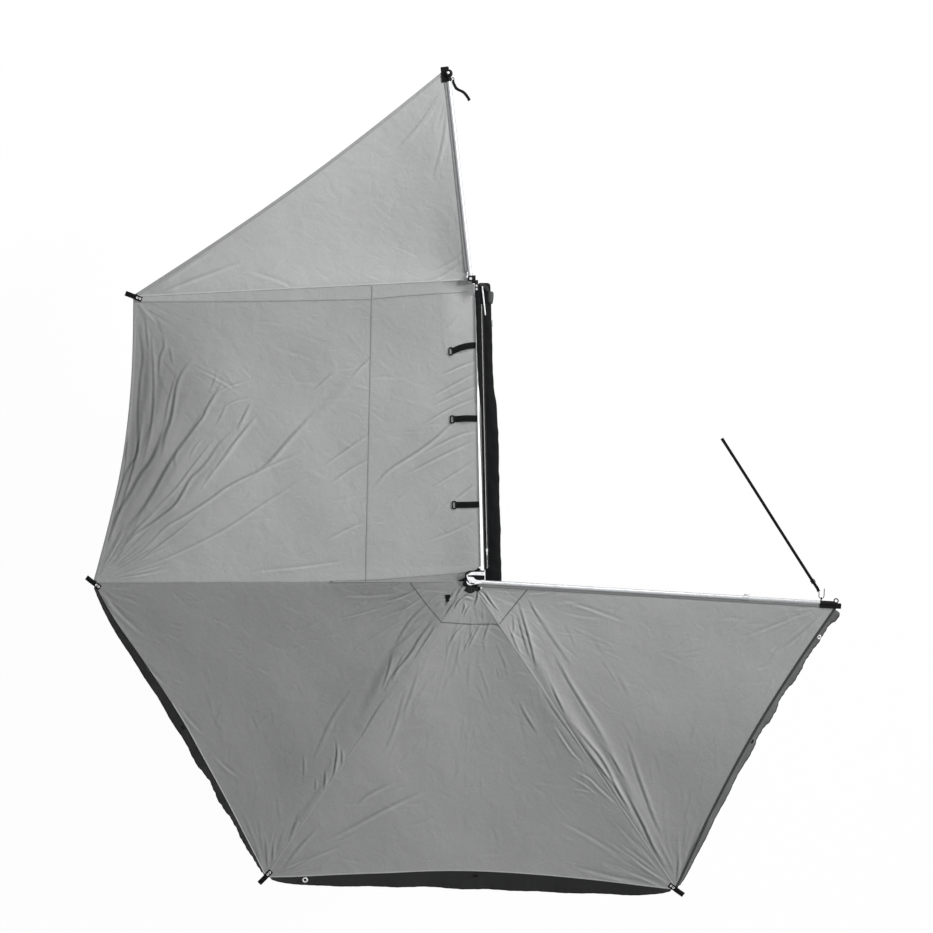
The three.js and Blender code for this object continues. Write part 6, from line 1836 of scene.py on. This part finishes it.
# %% The gathers
rings, spokes = 16, 360
G, R = np.meshgrid(np.linspace(0, 2 * math.pi, spokes, endpoint=False), np.linspace(27, 132, rings))
reach = np.where(np.cos(G) > 0.05, np.minimum(132, 86 / np.maximum(np.cos(G), 0.05)), 132)
out = 27 + (R - 27) * (reach - 27) / 105
pleat = np.sin(G * 29 + 1.3 * np.sin(G * 7)) + 0.6 * np.sin(G * 53 + 2) + 0.5 * np.sin(G * 17 + R / 9)
height = 48.5 + 1.7 * pleat * np.interp(R, [27, 60, 132], [0.3, 1, 0.7]) - 0.02 * (R - 27)
places = np.stack([HUB[0] + out * np.cos(G), HUB[1] + out * np.sin(G), np.minimum(height, 52.4)], -1).reshape(-1, 3)
uv = np.stack([G * 0.08, R * MM], -1).reshape(-1, 2)
obj = build("hub_gathers", places, grid_faces(rings, spokes, True)[:, ::-1], uv)
# Painted shade in the valleys of the pleats.
paint(obj, "CreaseShade", np.clip(0.5 - 0.4 * pleat, 0, 1).ravel())
dress(obj, "black", "black_fabric", "frame")
area_of(places, rings, spokes)
print("the gathers:", rings, "rings of", spokes, "points")

# %% A black fastening tab on the patch, left of the hub
panel = PANELS["left"]
grid_a, grid_l = np.meshgrid(np.linspace(0.3, 1, 120), np.linspace(0.0, 0.12, 120))
pixels = to_photo(panel.base(grid_a, grid_l))


def spot(x, y):
    near = np.unravel_index(np.argmin((pixels[..., 0] - x) ** 2 + (pixels[..., 1] - y) ** 2), grid_a.shape)
    return grid_a[near], grid_l[near]


line = np.array([spot(447.6, 594.6), spot(448.0, 597.8), spot(448.6, 601.2)])
places = cloth(panel, np.interp(np.linspace(0, 2, 12), [0, 1, 2], line[:, 0]),
               np.interp(np.linspace(0, 2, 12), [0, 1, 2], line[:, 1]), 3.2)[0]
at, faces, uv = sweep(places, tape(42, 2.6))
obj = dress(build("hub_tab", at, faces, uv), "webbing", "webbing")
follow(obj, panel, np.full(len(obj.data.vertices), float(line[:, 0].mean())))
print("the tab starts at", line[0].round(3), "of the left sector")


# %% Strips on the rail
# Black cloth laps over its front half out of the bag, a grey strip along its rear half is painted shade on the rail's
# top, and a light welt holds the side panel in its groove.
def rail_strip(name, run, left, right, height, material, slot):
    section = np.array(tape(2.0, 0.08))
    middle, half = (left + right) / 2, (right - left) / 2
    path = np.stack([middle, run, height + 0.25 * np.sin(run / 31)], 1)
    _, faces, uv = sweep(path, tape(1.0, 0.04))
    at = path[:, None] + np.stack([section[None, :, 0] * half[:, None], np.zeros((len(run), len(section))),
                                   np.broadcast_to(section[:, 1] * 15.0, (len(run), len(section)))], -1)
    return dress(build(name, at.reshape(-1, 3), faces, uv), material, slot, "frame")


run = np.linspace(190, 1214, 160)
edge = np.interp(run, [190, 258, 400, 600, 925, 1091, 1214], [13, 6, -3, -8, -10, -13, -15])
edge += 0.8 * np.sin(run / 23)
rail_strip("rail_lap", run, edge, np.full(160, 14.6), 94.2, "bag", "black_fabric")
# Painted shade: a grey strip over part of the rail's top, along its rear half.
run = np.linspace(-1214, 300, 160)
edge = np.interp(run, [-1214, -900, -366, 92, 300], [9, 9, 6, 0, 7])
rail_strip("rail_tape", run, edge, np.full(160, 15.0), 93.8, "rail_tape", "black_fabric")
run = np.linspace(240, 1110, 120)
rail_strip("rail_welt", run, np.full(120, -15.5), np.interp(run, [240, 420, 925, 1110], [-13, -6, -9, -13]), 94.0,
           "light_hem", "grey_canvas")
print("the welt runs over", round(float(run[-1] - run[0])), "mm")

# %% The bag's cloth that is held behind the rail and closes the gap beside it
run = np.linspace(-1150, 1214, 200)
drape = np.array([[14.8, 92.6], [16.4, 94.6], [18.0, 92.0], [20.0, 78.0], [22.5, 56.0], [26.0, 36.0],
                  [33.0, 28.8], [33.0, 28.0], [25.0, 34.0], [21.0, 54.0], [18.5, 76.0], [16.2, 90.0]])
ripples = 0.9 * np.sin(run / 27)[:, None] * np.array([0, 0, 0, 1, 1.6, 1.2, 0, 0, 1.2, 1.6, 1, 0])[None, :]
at = np.stack([drape[None, :, 0] + ripples, np.broadcast_to(run[:, None], (200, 12)),
               np.broadcast_to(drape[:, 1], (200, 12))], -1)
faces = grid_faces(200, 12, True).tolist() + [list(range(12))[::-1], [199 * 12 + i for i in range(12)]]
uv = np.stack(np.broadcast_arrays(run[:, None] * MM, np.arange(12)[None, :] * 0.01), -1).reshape(-1, 2)
obj = build("bag_apron", at.reshape(-1, 3), faces, uv)
paint(obj, "CreaseShade", np.zeros(len(uv)))
dress(obj, "bag", "black_fabric", "frame")
print("the apron is", round(float(run[-1] - run[0])), "mm long")

# %% The bag's rolled front end with its bright stay
roll = lathe([[0.1, -52], [15, -52], [24, -48], [28, -30], [29, 0], [28, 30], [24, 48], [15, 52], [0.1, 52]], 36)
at = frame_at((112.0, 1108.0, 1.0), (0.1, 1, 0), (1, 0, 0))(roll[0])
dress(Parts().add(at, roll[1]).made("bag_roll"), "lining_hem", "black_fabric", "frame")
stay = np.stack([np.linspace(48, 70, 30), np.linspace(1200, 958, 30),
                 32 + 1.5 * np.sin(np.linspace(0, math.pi, 30))], 1)
at, faces, uv = sweep(stay, tape(13, 2.4), scale=np.interp(np.linspace(0, 1, 30), [0, 0.2, 1], [0.7, 1, 0.7]))
dress(build("bag_stay", at, faces, uv), "plate", "aluminium", "frame")
print("the stay is", round(float(np.linalg.norm(stay[-1] - stay[0]))), "mm long")


# %% Black trim along the upper hub plate's edge, and painted shade in the gap between its two lugs
def from_photo(pixel, height):
    """The awning's (x, y) under a pixel of the photograph at a height."""
    near = CAMERA_HEIGHT / (CAMERA_HEIGHT - height)
    x = CENTRE[0] + ((pixel[0] - ORIGIN_PIXEL[0]) * PIXEL - CENTRE[0]) / near
    y = CENTRE[1] + ((ORIGIN_PIXEL[1] - pixel[1]) * PIXEL - CENTRE[1]) / near
    return np.array([x * math.cos(TURN) + y * math.sin(TURN), -x * math.sin(TURN) + y * math.cos(TURN)])


def flat_piece(name, pixels, low, high, material, slot):
    """A flat plate cut to an outline that is given in pixels."""
    outline = np.array([from_photo(pixel, high) for pixel in pixels])
    turned = np.sum(outline[:, 0] * np.roll(outline[:, 1], -1) - outline[:, 1] * np.roll(outline[:, 0], -1))
    outline = outline if turned > 0 else outline[::-1]
    n = len(outline)
    places = np.vstack([np.column_stack([outline, np.full(n, z)]) for z in (low, high)])
    faces = [list(range(n))[::-1], [n + i for i in range(n)]]
    faces += [[i, (i + 1) % n, (i + 1) % n + n, i + n] for i in range(n)]
    obj = dress(build(name, places, faces, smooth=False), material, slot, "frame")
    soft = obj.modifiers.new("edge", "BEVEL")
    soft.width, soft.segments = 0.0006, 2
    return obj


# Painted shade: a black plate stands for the dark gap between the upper plate's two lugs.
flat_piece("hub_slot", [(467.5, 575.3), (473.0, 575.0), (479.5, 575.2), (484.6, 575.5), (484.6, 580.0),
                        (479.0, 580.3), (475.6, 579.6), (473.4, 577.2), (467.8, 576.6)],
           97.5, 101.6, "plastic", "black_plastic")
rim = np.array([(484.6, 571.2), (479.5, 571.2), (470.5, 571.3), (467.0, 572.6), (465.8, 574.6),
                (466.2, 578.0), (468.2, 581.6), (471.0, 583.4), (474.5, 583.8)])
path = np.array([[*from_photo(pixel, 101.0), 100.6] for pixel in smooth_line(rim, 5)])
at, faces, uv = sweep(path, tape(11, 3.2))
dress(build("hub_trim", at, faces, uv), "plastic", "black_plastic", "frame")
print("the trim's path has", len(path), "points")

# %% [markdown]
# ## Floor
# A pale floor below the awning throws light back up to the cloth, as pale ground does. A shadow catcher could
# hide it, but the camera should see white, as in the photograph. So the floor itself looks nearly white to the
# camera, and only a trace of the shadow shows. It is a stage piece.

# %% The floor
floor_data = bpy.data.meshes.new("floor")
floor_data.from_pydata([(-40, -40, 0), (40, -40, 0), (40, 40, 0), (-40, 40, 0)], [], [(0, 1, 2, 3)])
floor = bpy.data.objects.new("floor", floor_data)
floor.location = (0, 0, -2.1)
scene.collection.objects.link(floor)
paper = Shade("pale floor", (0.9, 0.9, 0.9), 0.85)
speck = paper.noise(paper.coords("Object"), 3.0, 3.0).span(0.3, 0.7)
paper.colour(paper.mix(speck, (0.9, 0.9, 0.9), (0.93, 0.93, 0.93)))
white_studio(paper.tree, paper.shader, paper.tree.nodes["Material Output"], 0.97)
floor.data.materials.append(paper.material)
print("floor at", floor.location.z, "m")
